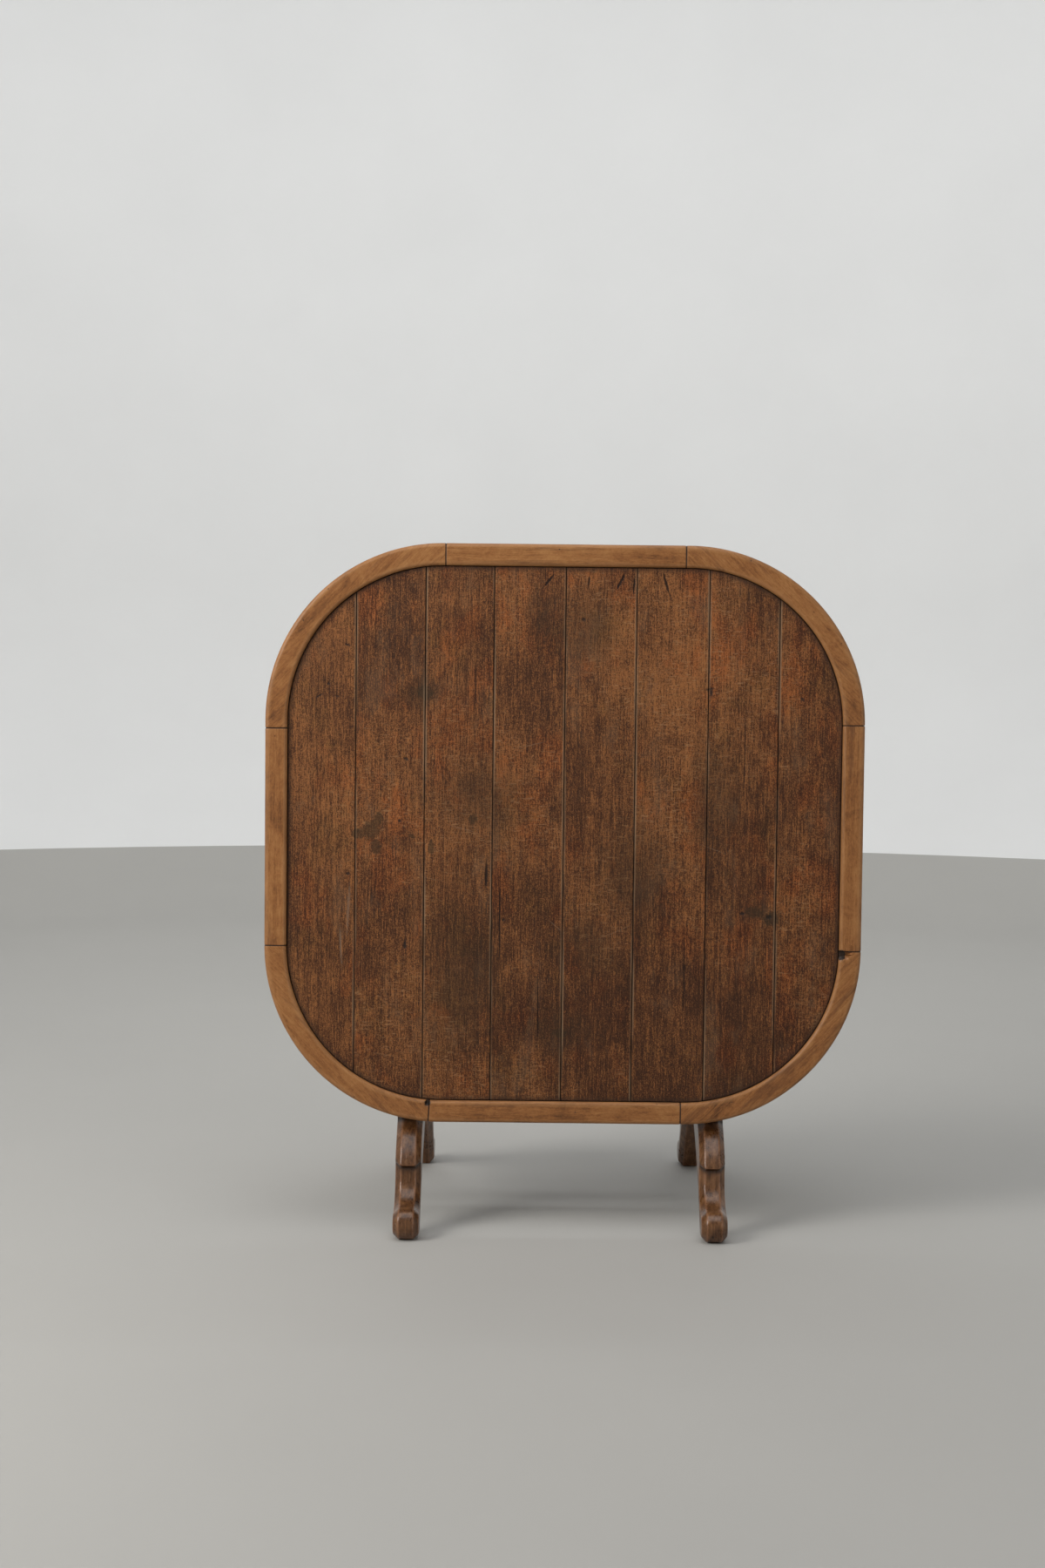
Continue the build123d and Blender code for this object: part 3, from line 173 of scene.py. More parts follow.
class Paint:
    """One material and the nodes that it is made of."""

    def __init__(self, name):
        self.material = bpy.data.materials.new(name)
        self.material.use_nodes = True
        self.tree = self.material.node_tree
        self.tree.nodes.clear()

    def node(self, kind, settings=None, inputs=None, output=0):
        made = self.tree.nodes.new(kind)
        for key, value in (settings or {}).items():
            if key == "stops":
                set_stops(made.color_ramp, value)
            else:
                setattr(made, key, value)
        for key, value in (inputs or {}).items():
            if isinstance(value, Wire):
                self.tree.links.new(value.socket, made.inputs[key])
            else:
                made.inputs[key].default_value = value
        return Wire(self, made.outputs[output]) if made.outputs else None

    def noise(self, place, detail=2.0, roughness=0.5, distortion=0.0):
        return self.node("ShaderNodeTexNoise", {}, {
            "Vector": place, "Scale": 1.0, "Detail": detail, "Roughness": roughness,
            "Distortion": distortion})

    def spots(self, place):
        """Distance to the nearest of scattered points."""
        return self.node("ShaderNodeTexVoronoi", {}, {"Vector": place, "Scale": 1.0})

    def between(self, value, low, high):
        """0 below low and 1 above high, eased; it falls instead where low is the larger."""
        return self.node("ShaderNodeMapRange", {"interpolation_type": "SMOOTHSTEP"},
                         {"Value": value, "From Min": low, "From Max": high})

    def place_in_table(self):
        """Where the surface is in the table's own metres, while the table is at rest."""
        return self.node("ShaderNodeTexCoord", {}, {}, output=3)

    def mix(self, factor, first, second, blend="MIX"):
        first, second = [c if isinstance(c, Wire) else (*c, 1.0) for c in (first, second)]
        return self.node("ShaderNodeMix", {"data_type": "RGBA", "blend_type": blend},
                         {0: factor, 6: first, 7: second}, output=2)

    def ramp(self, value, stops):
        return self.node("ShaderNodeValToRGB", {"stops": stops}, {0: value})

    def attribute(self, name, output):
        return self.node("ShaderNodeAttribute", {"attribute_name": name}, output=output)

    def surface(self, inputs, height=None, depth=0.0):
        """The surface shader, with a bump of that depth in metres."""
        if height is not None:
            inputs["Normal"] = self.node("ShaderNodeBump", {}, {
                "Strength": 1.0, "Distance": depth, "Height": height})
        shader = self.node("ShaderNodeBsdfPrincipled", {}, inputs)
        self.node("ShaderNodeOutputMaterial", {}, {"Surface": shader})
        return self.material


def set_stops(ramp, stops):
    """Give a colour ramp its positions and colours."""
    while len(ramp.elements) > 1:
        ramp.elements.remove(ramp.elements[0])
    ramp.elements[0].position = stops[0][0]
    ramp.elements[0].color = (*stops[0][1], 1.0)
    for position, tone in stops[1:]:
        ramp.elements.new(position).color = (*tone, 1.0)


def nearest_mark(paint, place, marks):
    """How far the surface is from the nearest mark, where 1 is a mark's edge."""
    found = None
    for x, z, half_width, half_height, turn in marks:
        local = paint.node("ShaderNodeMapping", {"vector_type": "TEXTURE"}, {
            "Vector": place, "Location": (x * MM, 0.0, z * MM), "Rotation": (0.0, radians(turn), 0.0),
            "Scale": (half_width * MM, 10.0, half_height * MM)})
        reach = paint.node("ShaderNodeVectorMath", {"operation": "LENGTH"}, {0: local}, output=1)
        found = reach if found is None else found.smaller(reach)
    return found


# ---- woods ----
def wood_place(paint, along):
    """Coordinates with x along the grain: a mesh's own, or worked out from an axis."""
    if along is None:
        return paint.attribute("grain", 1)
    turn = {"X": (0.0, 0.0, 0.0), "Y": (0.0, 0.0, pi / 2), "Z": (0.0, pi / 2, 0.0)}[along]
    place = paint.place_in_table()
    return paint.node("ShaderNodeMapping", {"vector_type": "POINT"}, {"Vector": place, "Rotation": turn})


def oak_tones(paint, place, fine):
    """Layers of figure, from fine fibres to broad changes of tone, each about 0.5."""
    drift = paint.noise(place * (2.2, 9.0, 9.0), detail=2.0)
    bend = paint.node("ShaderNodeCombineXYZ", {}, {1: (drift - 0.5) * 0.010, 2: (drift - 0.5) * 0.006})
    bent = place + bend
    return {
        "fibres": paint.noise(bent * (60.0, 1150.0 * fine, 700.0), detail=2.0, roughness=0.6),
        "pores": paint.noise(bent * (26.0, 470.0 * fine, 300.0), detail=3.0, roughness=0.65),
        "rings": paint.noise(bent * (5.0, 190.0 * fine, 120.0), detail=2.0, roughness=0.55),
        "flecks": paint.noise(bent * (210.0, 430.0, 400.0), detail=3.0, roughness=0.75),
        "mottle": paint.noise(place * (21.0, 27.0, 24.0), detail=6.0, roughness=0.70, distortion=0.9),
        "broad": paint.noise(place * (3.4, 4.6, 4.0), detail=3.0, roughness=0.6),
    }


def figured(tone, middle, **strengths):
    """Layers of figure added up round a middle level, each with its own strength."""
    level = middle
    for name, strength in strengths.items():
        level = level + (tone[name] - 0.5) * strength
    return level


def toned(tone, strength):
    """A colour made darker or lighter."""
    return tuple(min(1.0, strength * c) for c in tone)


# Colours that age and use have left on the wood, and the painted shade in its hollows, notches and corners
STAIN = (0.034, 0.0205, 0.0085)
SOFT_SHADOW = (0.032, 0.0175, 0.0080)
RAY_FLECK = (0.31, 0.160, 0.072)
KNOT = (0.016, 0.010, 0.007)
SPLIT = (0.010, 0.006, 0.005)
SCRATCH = (0.26, 0.17, 0.11)
SEAM_DUST = (0.27, 0.170, 0.098)
SEAM_DIRT = (0.014, 0.008, 0.005)
RIM_EDGE_SHADE_AND_GRIME = (0.030, 0.016, 0.010)
RUDDY_TINT = (1.20, 0.84, 0.60)
OLIVE_TINT = (0.84, 0.94, 0.86)
RIM_RUBBED = (0.40, 0.205, 0.082)
RIM_STREAK = (0.105, 0.040, 0.016)
RIM_PIT = (0.030, 0.014, 0.009)
RIM_SHADE_AND_GRIME = (0.026, 0.013, 0.008)
NOTCH_SHADE = (0.007, 0.004, 0.003)
UNDER_RUBBED = (0.30, 0.19, 0.11)
UNDER_DUST = (0.23, 0.19, 0.15)
BASE_RUBBED = (0.27, 0.125, 0.062)
BASE_SCUFF = (0.30, 0.21, 0.15)
BASE_KNOCK = (0.015, 0.008, 0.006)
HOLLOW_SHADE_AND_GRIME = (0.014, 0.008, 0.006)

# Marks on the top: X and Z from its middle, half sizes in mm, and turn in degrees
PLANK_STAINS = (
    (-235, 236, 15, 13, 20), (-323, 5, 18, 17, -32), (-343, 0, 13, 10, 0), (-311, 24, 8, 15, 20),
    (-314, -21, 9, 14, 0), (-222, -22, 6, 14, 0), (-254, -3, 7, 4, 30), (-152, 26, 9, 9, 0),
    (320, -125, 17, 10, 12), (349, -136, 15, 13, -20), (-4, -332, 14, 8, 0),
)
PLANK_SHADOWS = (    # wide soft patches where the wood has gone dark
    (34, 345, 46, 60, 5), (-37, 368, 22, 52, 0), (318, -126, 26, 16, 10), (352, -136, 19, 13, -15),
    (-235, 236, 24, 30, 20), (-4, -332, 60, 34, 0), (120, -60, 60, 90, 0), (-140, 60, 70, 60, 15),
    (-170, -250, 60, 110, 0), (40, -180, 50, 50, 0), (250, 60, 40, 100, 0),
)
PLANK_SPOTS = (     # small dark knots and pits
    (-265, -186, 3.0, 7.5, 0), (-265, 126, 4.5, 2.6, 25), (-275, 22, 3.0, 3.6, 0), (-361, -67, 4.0, 3.0, 0),
    (29, 361, 4.0, 3.4, 0), (240, 247, 8.0, 2.2, -10), (243, 241, 3.0, 6.0, 0), (-410, 230, 7.5, 1.3, -30),
    (-380, 229, 4.0, 1.4, 10), (-364, 315, 5.0, 1.6, 20), (300, -128, 4.5, 3.2, 0), (345, -133, 5.5, 3.6, 0),
    (-100, -142, 2.6, 2.4, 0), (395, 232, 3.0, 3.0, 0), (-395, 250, 3.0, 2.2, 0),
)
PLANK_SPLITS = (    # short checks that run in from the ends, and longer shakes
    (-30, 424, 15.0, 2.2, 128), (90, 424, 17.0, 2.2, 118), (112, 418, 17.0, 2.0, 94),
    (166, 420, 24.0, 2.4, 73), (37, 424, 10.0, 1.8, 96), (-129, -66, 26.0, 2.3, 91),
    (-106, -136, 86.0, 1.0, 90), (204, -240, 60.0, 1.0, 90), (-40, -300, 55.0, 1.0, 89),
    (300, 150, 70.0, 0.9, 90), (-150, 250, 48.0, 0.9, 91),
)
RIM_BREAKS = (    # where the rim's lip has broken away, painted near-black as the shade in the notch
    (467, -195, 6.4, 8.0, 0), (-224, -452, 4.5, 4.5, 0),
)
PLANK_SCRATCHES = (   # pale scratches across the grain
    (-52, 152, 21.0, 0.8, -14), (-170, 10, 26.0, 0.7, 14), (-110, 158, 8.0, 0.7, 2),
    (250, -20, 30.0, 0.6, 20), (90, -160, 36.0, 0.6, -24), (-220, -75, 12.0, 0.6, 14),
    (-12, -152, 22.0, 0.7, 40), (-360, -130, 3.0, 55.0, 3), (-372, -190, 2.6, 40.0, -3),
)


def plank_oak(top):
    """Dark, dry oak: rubbed orange grain over brown, grey wear, stains, splits and dust, with painted shade
    towards the bottom and along the rim.
    """
    paint = Paint("plank_oak")
    place = wood_place(paint, None)
    here = paint.place_in_table() - (0.0, 0.0, top_middle().z)
    tone = oak_tones(paint, place, 1.0)
    # Each plank's own tone, with painted light that makes the leftmost plank lighter
    board = paint.attribute("board", 2)
    edge = paint.attribute("wear", 2)
    grime = paint.attribute("grime", 2)
    height_here = paint.node("ShaderNodeSeparateXYZ", {}, {0: here}, output=2)
    tone["speckle"] = paint.noise(here * 640.0, detail=2.0, roughness=0.8)
    # Painted shade: the height term makes the planks darker towards the bottom, as the light falls off
    level = figured(tone, 0.47, rings=0.50, pores=1.15, speckle=1.75, fibres=0.85, flecks=1.35,
                    mottle=0.62, broad=0.95) + height_here * 0.16 + board
    wood = paint.ramp(level, (
        (0.14, tuple(top.plank_deep)), (0.48, tuple(top.plank_mid)), (0.86, tuple(top.plank_light))))
    ruddy = paint.between(paint.noise(place * (8.0, 13.0, 11.0), detail=4.0, roughness=0.65), 0.50, 0.66)
    wood = paint.mix(ruddy * 0.55, wood, RUDDY_TINT, "MULTIPLY")
    olive = paint.between(paint.noise(place * (11.0, 9.0, 10.0), detail=5.0, roughness=0.7), 0.52, 0.64)
    wood = paint.mix(olive * 0.50, wood, OLIVE_TINT, "MULTIPLY")
    faded = paint.between(paint.noise(place * (7.0, 15.0, 12.0), detail=5.0, roughness=0.7), 0.54, 0.68)
    wood = paint.mix(faded * 0.24, wood, tuple(top.plank_grey))
    rays = paint.between(paint.noise(place * (430.0, 62.0, 50.0), detail=1.0, distortion=1.2), 0.60, 0.68)
    rays = rays * paint.between(tone["broad"] + (tone["mottle"] - 0.5) * 0.5, 0.46, 0.62)
    wood = paint.mix(rays * 0.58, wood, RAY_FLECK)
    ragged = (paint.noise(here * 75.0, detail=5.0, roughness=0.7) - 0.5) * 1.3 + (tone["flecks"] - 0.5) * 0.8
    stain = paint.between(nearest_mark(paint, here, PLANK_STAINS) + ragged, 1.10, 0.70)
    wood = paint.mix(stain * 0.66, wood, STAIN)
    shadow = paint.between(nearest_mark(paint, here, PLANK_SHADOWS) + ragged * 0.7, 1.55, 0.35)
    wood = paint.mix(shadow * 0.42, wood, SOFT_SHADOW)
    spot = paint.between(nearest_mark(paint, here, PLANK_SPOTS) + ragged * 0.5, 1.2, 0.5)
    wood = paint.mix(spot * 0.85, wood, KNOT)
    split = paint.between(nearest_mark(paint, here, PLANK_SPLITS) + (tone["pores"] - 0.5) * 1.3, 1.1, 0.55)
    wood = paint.mix(split * 0.90, wood, SPLIT)
    scratched = nearest_mark(paint, here, PLANK_SCRATCHES) + (tone["flecks"] - 0.5) * 2.0
    scratch = paint.between(scratched, 1.0, 0.4)
    wood = paint.mix(scratch * 0.40, wood, SCRATCH)
    patchy = paint.between(paint.noise(place * (5.0, 60.0, 60.0)), 0.40, 0.62)
    dusty = paint.between(edge, 0.05, 0.55) * patchy
    wood = paint.mix(dusty * 0.62, wood, SEAM_DUST)
    seam = paint.between(edge + (tone["mottle"] - 0.5) * 0.5, 0.72, 0.95)
    wood = paint.mix(seam * 0.80, wood, SEAM_DIRT)
    # Painted shade along the foot of the rim, together with grime there
    grime = paint.between(grime + (tone["mottle"] - 0.5) * 0.7, 0.30, 1.05)
    wood = paint.mix(grime * 0.66, wood, RIM_EDGE_SHADE_AND_GRIME)
    rough = 0.56 + (tone["pores"] - 0.5) * 0.30 + faded * 0.10 + split * 0.25
    height = (tone["pores"] * 0.6 + tone["fibres"] * 0.35 + tone["rings"] * 0.35 + tone["flecks"] * 0.4
              - split * 1.6 - spot * 0.7)
    return paint.surface({"Base Color": wood, "Roughness": rough, "Specular IOR Level": 0.22},
                         height, 0.0009)


def rim_oak(top, along=None, name="rim_oak"):
    """Paler polished oak with straight grain, rubbed lips, pits and dark joints, with painted light and shade
    on its pieces, lip and notches.
    """
    paint = Paint(name)
    place = wood_place(paint, along)
    tone = oak_tones(paint, place, 0.8)
    edge = paint.attribute("wear", 2)
    side = paint.attribute("board", 2)
    joint = paint.attribute("grime", 2)
    # side is painted light and shade: the top and left pieces lighter, the bottom and right ones darker
    level = figured(tone, 0.50, rings=0.50, pores=0.60, fibres=0.45, flecks=0.70, mottle=1.05,
                    broad=0.85) + side
    wood = paint.ramp(level, (
        (0.08, tuple(top.rim_deep)), (0.47, tuple(top.rim_mid)), (0.95, tuple(top.rim_light))))
    wood = paint.mix(paint.between(edge, 0.2, 0.9) * 0.28, wood, RIM_RUBBED)
    streak = paint.between(paint.noise(place * (4.5, 42.0, 42.0), detail=5.0, roughness=0.7), 0.53, 0.68)
    wood = paint.mix(streak * 0.62, wood, RIM_STREAK)
    pits = paint.between(paint.spots(place * (46.0, 62.0, 62.0)), 0.085, 0.035)
    pits = pits * paint.between(paint.noise(place * 40.0, detail=0.0), 0.55, 0.60)
    wood = paint.mix(pits * 0.85, wood, RIM_PIT)
    # Painted shade at the foot of the lip, with grime, and dirt in the joints
    grime = paint.between(joint + (tone["mottle"] - 0.5) * 0.5, 0.15, 0.70)
    wood = paint.mix(grime * 0.88, wood, RIM_SHADE_AND_GRIME)
    here = paint.place_in_table() - (0.0, 0.0, top_middle().z)
    # Painted shade: the notches where the lip has broken away are painted near-black
    broken = paint.between(nearest_mark(paint, here, RIM_BREAKS) + (tone["flecks"] - 0.5) * 0.9, 1.25, 0.95)
    wood = paint.mix(broken * 0.94, wood, NOTCH_SHADE)
    rough = 0.42 + (tone["pores"] - 0.5) * 0.22 + streak * 0.12 + grime * 0.2
    height = tone["pores"] * 0.4 + tone["fibres"] * 0.25 + tone["rings"] * 0.4 - pits * 0.9
    return paint.surface({"Base Color": wood, "Roughness": rough, "Specular IOR Level": 0.30},
                         height, 0.0005)


def under_oak(top, along=None, name="under_oak"):
    """Unpolished oak under the top, brown with age, dusty and scuffed."""
    paint = Paint(name)
    place = wood_place(paint, along)
    tone = oak_tones(paint, place, 0.9)
    edge = paint.attribute("wear", 2)
    mid = tuple(top.under_mid)
    level = figured(tone, 0.50, rings=0.8, pores=0.6, fibres=0.5, mottle=0.6, broad=0.5)
    wood = paint.ramp(level, (
        (0.08, toned(mid, 0.40)), (0.48, mid), (0.95, toned(mid, 1.9))))
    wood = paint.mix(paint.between(edge, 0.25, 0.95) * 0.35, wood, UNDER_RUBBED)
    dust = paint.between(tone["mottle"], 0.52, 0.70)
    wood = paint.mix(dust * 0.22, wood, UNDER_DUST)
    rough = 0.66 + (tone["pores"] - 0.5) * 0.25 + dust * 0.1
    height = tone["pores"] * 0.5 + tone["fibres"] * 0.4 + tone["rings"] * 0.5
    return paint.surface({"Base Color": wood, "Roughness": rough, "Specular IOR Level": 0.35},
                         height, 0.0008)


def base_oak(base, along=None, name="base_oak"):
    """Old waxed oak: nearly black in the hollows with grime and painted shade, rubbed brown on the faces and
    edges.
    """
    paint = Paint(name)
    place = wood_place(paint, along)
    tone = oak_tones(paint, place, 0.75)
    edge = paint.attribute("wear", 2)
    hollow = paint.attribute("grime", 2)
    level = figured(tone, 0.50, rings=0.75, pores=0.5, fibres=0.3, mottle=0.95, broad=0.55)
    wood = paint.ramp(level, (
        (0.16, tuple(base.base_deep)), (0.50, tuple(base.base_mid)), (0.90, tuple(base.base_light))))
    rubbed = paint.between(edge + (tone["mottle"] - 0.5) * 0.7, 0.35, 0.95)
    wood = paint.mix(rubbed * 0.60, wood, BASE_RUBBED)
    scuff = paint.between(paint.noise(place * (60.0, 90.0, 90.0), detail=3.0, roughness=0.7), 0.63, 0.72)
    wood = paint.mix(scuff * 0.35, wood, BASE_SCUFF)
    knocks = paint.between(paint.spots(place * (30.0, 44.0, 44.0)), 0.11, 0.04)
    knocks = knocks * paint.between(paint.noise(place * 33.0, detail=0.0), 0.55, 0.60)
    wood = paint.mix(knocks * 0.7, wood, BASE_KNOCK)
    # Painted shade in the hollows, such as under the ledges of the legs, with grime
    grime = paint.between(hollow + (tone["mottle"] - 0.5) * 0.5, 0.20, 0.90)
    wood = paint.mix(grime * 0.80, wood, HOLLOW_SHADE_AND_GRIME)
    rough = 0.31 + (tone["pores"] - 0.5) * 0.25 + scuff * 0.22 + (tone["mottle"] - 0.5) * 0.18
    height = tone["pores"] * 0.3 + tone["rings"] * 0.4 + tone["mottle"] * 0.7 - knocks * 0.8
    coat = 0.05 + base.polish * paint.between(tone["mottle"], 0.35, 0.6)
    return paint.surface({
        "Base Color": wood, "Roughness": rough, "Specular IOR Level": 0.38,
        "Coat Weight": coat, "Coat Roughness": 0.16}, height, 0.0007)


# ---- metals ----
def iron(metal):
    """Dark forged iron with patches of rust."""
    paint = Paint("iron")
    place = paint.place_in_table()
    cloud = paint.noise(place * 120.0, detail=4.0, roughness=0.65)
    grit = paint.noise(place * 900.0, detail=2.0)
    rust = paint.between(cloud, 0.50, 0.66)
    bare = paint.mix(grit, toned(metal.iron, 0.6), toned(metal.iron, 1.5))
    return paint.surface({
        "Base Color": paint.mix(rust, bare, tuple(metal.rust)),
        "Metallic": 0.90 - rust * 0.75, "Roughness": 0.42 + rust * 0.38},
        grit * 0.5 + cloud, 0.0004)


def brass(metal):
    """Handled brass, bright where it is rubbed and brown in between."""
    paint = Paint("brass")
    place = paint.place_in_table()
    cloud = paint.noise(place * 60.0, detail=5.0, roughness=0.7)
    brushed = paint.noise(place * (220.0, 900.0, 2600.0), detail=2.0)
    tarnish = paint.between(cloud, 0.44, 0.66)
    return paint.surface({
        "Base Color": paint.mix(0.12 + tarnish * 0.45, tuple(metal.brass), tuple(metal.tarnish)),
        "Metallic": 1.0, "Roughness": 0.26 + tarnish * 0.30 + (brushed - 0.5) * 0.12},
        brushed * 0.4 + cloud * 0.6, 0.0002)


# ---- the stage's finishes ----
def plain_finish(name, tone, roughness):
    """A pale painted surface with a faint unevenness."""
    paint = Paint(name)
    place = paint.place_in_table()
    cloud = paint.noise(place * 1.7, detail=4.0)
    return paint.surface({
        "Base Color": paint.mix(cloud, toned(tone, 0.96), toned(tone, 1.04)),
        "Roughness": roughness + (cloud - 0.5) * 0.1})


# ---- geometry helpers ----
def store(mesh, name, kind, values):
    """Keep one value for each vertex under a name that the materials read."""
    layer = mesh.attributes.new(name, kind, "POINT")
    field = "vector" if kind == "FLOAT_VECTOR" else "value"
    flat = [c for v in values for c in v] if kind == "FLOAT_VECTOR" else list(values)
    layer.data.foreach_set(field, flat)


def make_piece(name, mesh, body, nodes, materials, sharp=35.0):
    """Turn a finished mesh into a piece that rides on its body and stands for CAD nodes."""
    mesh.name = name
    piece = bpy.data.objects.new(name, mesh)
    bpy.context.scene.collection.objects.link(piece)
    for material in materials:
        mesh.materials.append(material)
    mesh.shade_smooth()
    mesh.set_sharp_from_angle(angle=radians(sharp))
    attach(piece, body)
    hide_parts(*nodes)
    return piece


def waver(*place):
    """Smooth seeded noise from -1 to 1."""
    return noise.noise(Vector(place))


def top_middle():
    """Middle of the top's face."""
    low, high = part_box("rim_straight_left")[0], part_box("rim_straight_right")[1]
    bottom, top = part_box("rim_straight_bottom")[0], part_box("rim_straight_top")[1]
    return Vector(((low.x + high.x) / 2, low.y, (bottom.z + top.z) / 2))


class TopShape:
    """The outline of the top and of the field of planks inside its rim."""

    def __init__(self, settings):
        left_low, left_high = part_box("rim_straight_left")
        self.middle = top_middle()
        self.half_width = self.middle.x - left_low.x
        self.half_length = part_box("rim_straight_top")[1].z - self.middle.z
        self.rim_width = left_high.x - left_low.x
        self.radius = settings.corner_radius
        self.inner_radius = self.radius - self.rim_width
        self.face_y = left_low.y
        self.under_y = left_high.y
        self.plank_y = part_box(PLANKS[0])[0].y

    def rim_distance(self, x, z):
        """How far a point of the planks is from the rim; z is from the middle of the top."""
        over_x = abs(x) - (self.half_width - self.radius)
        over_z = abs(z) - (self.half_length - self.radius)
        if over_x > 0 and over_z > 0:
            return self.inner_radius - hypot(over_x, over_z)
        return self.inner_radius - max(over_x, over_z)

    def reach(self, x, inset):
        """Half the length of the planks at x, held back from the rim by an inset."""
        over = abs(x) - (self.half_width - self.radius)
        radius = self.inner_radius - inset
        if over <= 0:
            return self.half_length - self.rim_width - inset
        return self.half_length - self.radius + sqrt(max(radius * radius - over * over, 0.0))


# ---- planks ----
PLANK_ROWS = 120
SEAM_REACH = 0.0035     # how far dust and dirt spread from a seam
GRIME_AND_SHADE_REACH = 0.016     # how far grime and painted shade spread from the rim
GROOVE_DEPTH = 0.006    # how deep the open seams are
LEDGE_FALL = 0.0002     # slope of the groove's floor
UNDER_EASE = 0.0001     # keeps the planks off the battens
ARRIS_DROP = 0.62       # how deep an edge is worn, for its width
PLANE_WAVE, FINE_WAVE = 0.00022, 0.00010    # waves that a hand plane leaves
EDGE_STEPS = (0.0, 0.0005, 0.0012, 0.0022, 0.004, 0.008)    # mesh rows close to a plank's edge
PLANK_TONES_AND_LIGHT = (    # how much lighter or darker each plank is: partly its own tone, partly painted light that makes the leftmost plank lighter
    0.10, 0.01, -0.02, -0.03, -0.04, 0.01, -0.04, -0.01,
)
PLANK_STEP = 0.0075     # widest column of the mesh
EDGE_CLEAR, NARROWEST = 0.0004, 0.0003      # room kept at a plank's side, and between columns


def spread(start, end, steps, count=None, longest=None):
    """Positions that follow the given steps at both ends and are even in between."""
    inner = end - start - 2 * steps[-1]
    count = count or ceil(inner / longest)
    middle = [start + steps[-1] + inner * i / count for i in range(1, count)]
    return [start + s for s in steps] + middle + [end - s for s in reversed(steps)]


def plank_columns(shape, left, right):
    """X of the mesh's columns, closer together where the plank's end curves away fast."""
    columns = set(round(x, 6) for x in spread(left, right, EDGE_STEPS, longest=PLANK_STEP))
    straight = shape.half_width - shape.radius
    for step in range(1, 30):
        x = straight + shape.inner_radius * sin(radians(3.0 * step))
        for value in (x, -x):
            if left + EDGE_CLEAR < value < right - EDGE_CLEAR:
                columns.add(round(value, 6))
    kept = []
    for x in sorted(columns):
        if not kept or x - kept[-1] > NARROWEST:
            kept.append(x)
    kept[-1] = right
    return kept


def worn_edge(distance, width):
    """How far the surface has dropped at a distance from a rounded edge."""
    if distance >= width:
        return 0.0
    rest = 1.0 - max(distance, 0.0) / width
    return width * ARRIS_DROP * (1.0 - sqrt(max(1.0 - rest * rest, 0.0)))


def plank_mesh(shape, settings, index):
    """One plank: a worn face in rows and columns, a shoulder under the open seam, and a flat back."""
    low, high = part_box(PLANKS[index])
    field = shape.half_width - shape.rim_width
    gap = settings.shrinkage
    first, last = index == 0, index == len(PLANKS) - 1
    left = shape.middle.x - field + gap if first else low.x
    right = shape.middle.x + field - gap if last else high.x
    columns = plank_columns(shape, left, right)
    rows = PLANK_ROWS
    twist = (-1) ** index * settings.cup
    verts, grain, wear, grime = [], [], [], []

    def column_heights(x, inset):
        half = shape.reach(x, inset)
        return spread(-half, half, EDGE_STEPS, count=rows - 2 * len(EDGE_STEPS) + 1)

    def remember(x, y, z, seam, rim):
        verts.append((x, y, shape.middle.z + z))
        grain.append((z + 3.7 * index, x + 1.9 * index, y))
        wear.append(max(0.0, 1.0 - seam / SEAM_REACH))
        grime.append(max(0.0, 1.0 - rim / GRIME_AND_SHADE_REACH))

    def front(x, z):
        """Face of the plank with its cup, hand-planed waves and worn edges."""
        rim = shape.rim_distance(x, z) - gap
        seam = min(x - left if not first else 1.0, right - x if not last else 1.0)
        across = (2 * x - left - right) / (right - left)
        arris = settings.arris * (1.0 + 0.45 * waver(x * 30.0, z * 14.0, index))
        y = shape.plank_y + twist * (across * across - 0.5)
        y += PLANE_WAVE * waver(x * 22.0 + index, z * 3.0, 0.3) + FINE_WAVE * waver(x * 70.0, z * 9.0, index)
        y += max(worn_edge(seam, arris), worn_edge(rim, settings.arris * 0.8))
        return y, seam, rim

    grid = len(columns) * rows
    for x in columns:
        for z in column_heights(x, gap):
            y, seam, rim = front(x, z)
            remember(x, y, z, seam, rim)
    for x in columns:
        for z in column_heights(x, 0.0):
            remember(x, shape.under_y - UNDER_EASE, z, 1.0, 1.0)

    def ring():
        last_column = len(columns) - 1
        loop = [(i, 0) for i in range(last_column + 1)]
        loop += [(last_column, j) for j in range(1, rows)]
        loop += [(i, rows - 1) for i in range(last_column - 1, -1, -1)]
        loop += [(0, j) for j in range(rows - 2, 0, -1)]
        return [i * rows + j for i, j in loop]

    loop = ring()
    step_y = shape.plank_y + GROOVE_DEPTH
    shoulder = len(verts)
    for n in loop:
        x, _, z = verts[n]
        remember(x, step_y, z - shape.middle.z, 0.0, 0.0)
    ledge = len(verts)
    for n in loop:
        x, y, z = verts[n + grid]
        if first and n < rows:
            x = shape.middle.x - field
        elif last and n >= grid - rows:
            x = shape.middle.x + field
        verts[n + grid] = (x, y, z)
        remember(x, step_y + LEDGE_FALL, z - shape.middle.z, 0.0, 0.0)
    faces = []
    for i in range(len(columns) - 1):
        for j in range(rows - 1):
            a = i * rows + j
            faces.append((a, a + rows, a + rows + 1, a + 1))
            faces.append((grid + a, grid + a + 1, grid + a + rows + 1, grid + a + rows))
    count = len(loop)
    belts = (loop, range(shoulder, shoulder + count), range(ledge, ledge + count), [n + grid for n in loop])
    for upper, lower in zip(belts, belts[1:]):
        for k in range(count):
            m = (k + 1) % count
            faces.append((upper[m], upper[k], lower[k], lower[m]))
    mesh = bpy.data.meshes.new(PLANKS[index])
    mesh.from_pydata(verts, [], faces)
    store(mesh, "grain", "FLOAT_VECTOR", grain)
    store(mesh, "wear", "FLOAT", wear)
    store(mesh, "grime", "FLOAT", grime)
    store(mesh, "board", "FLOAT", [PLANK_TONES_AND_LIGHT[index % len(PLANK_TONES_AND_LIGHT)]] * len(verts))
    return mesh


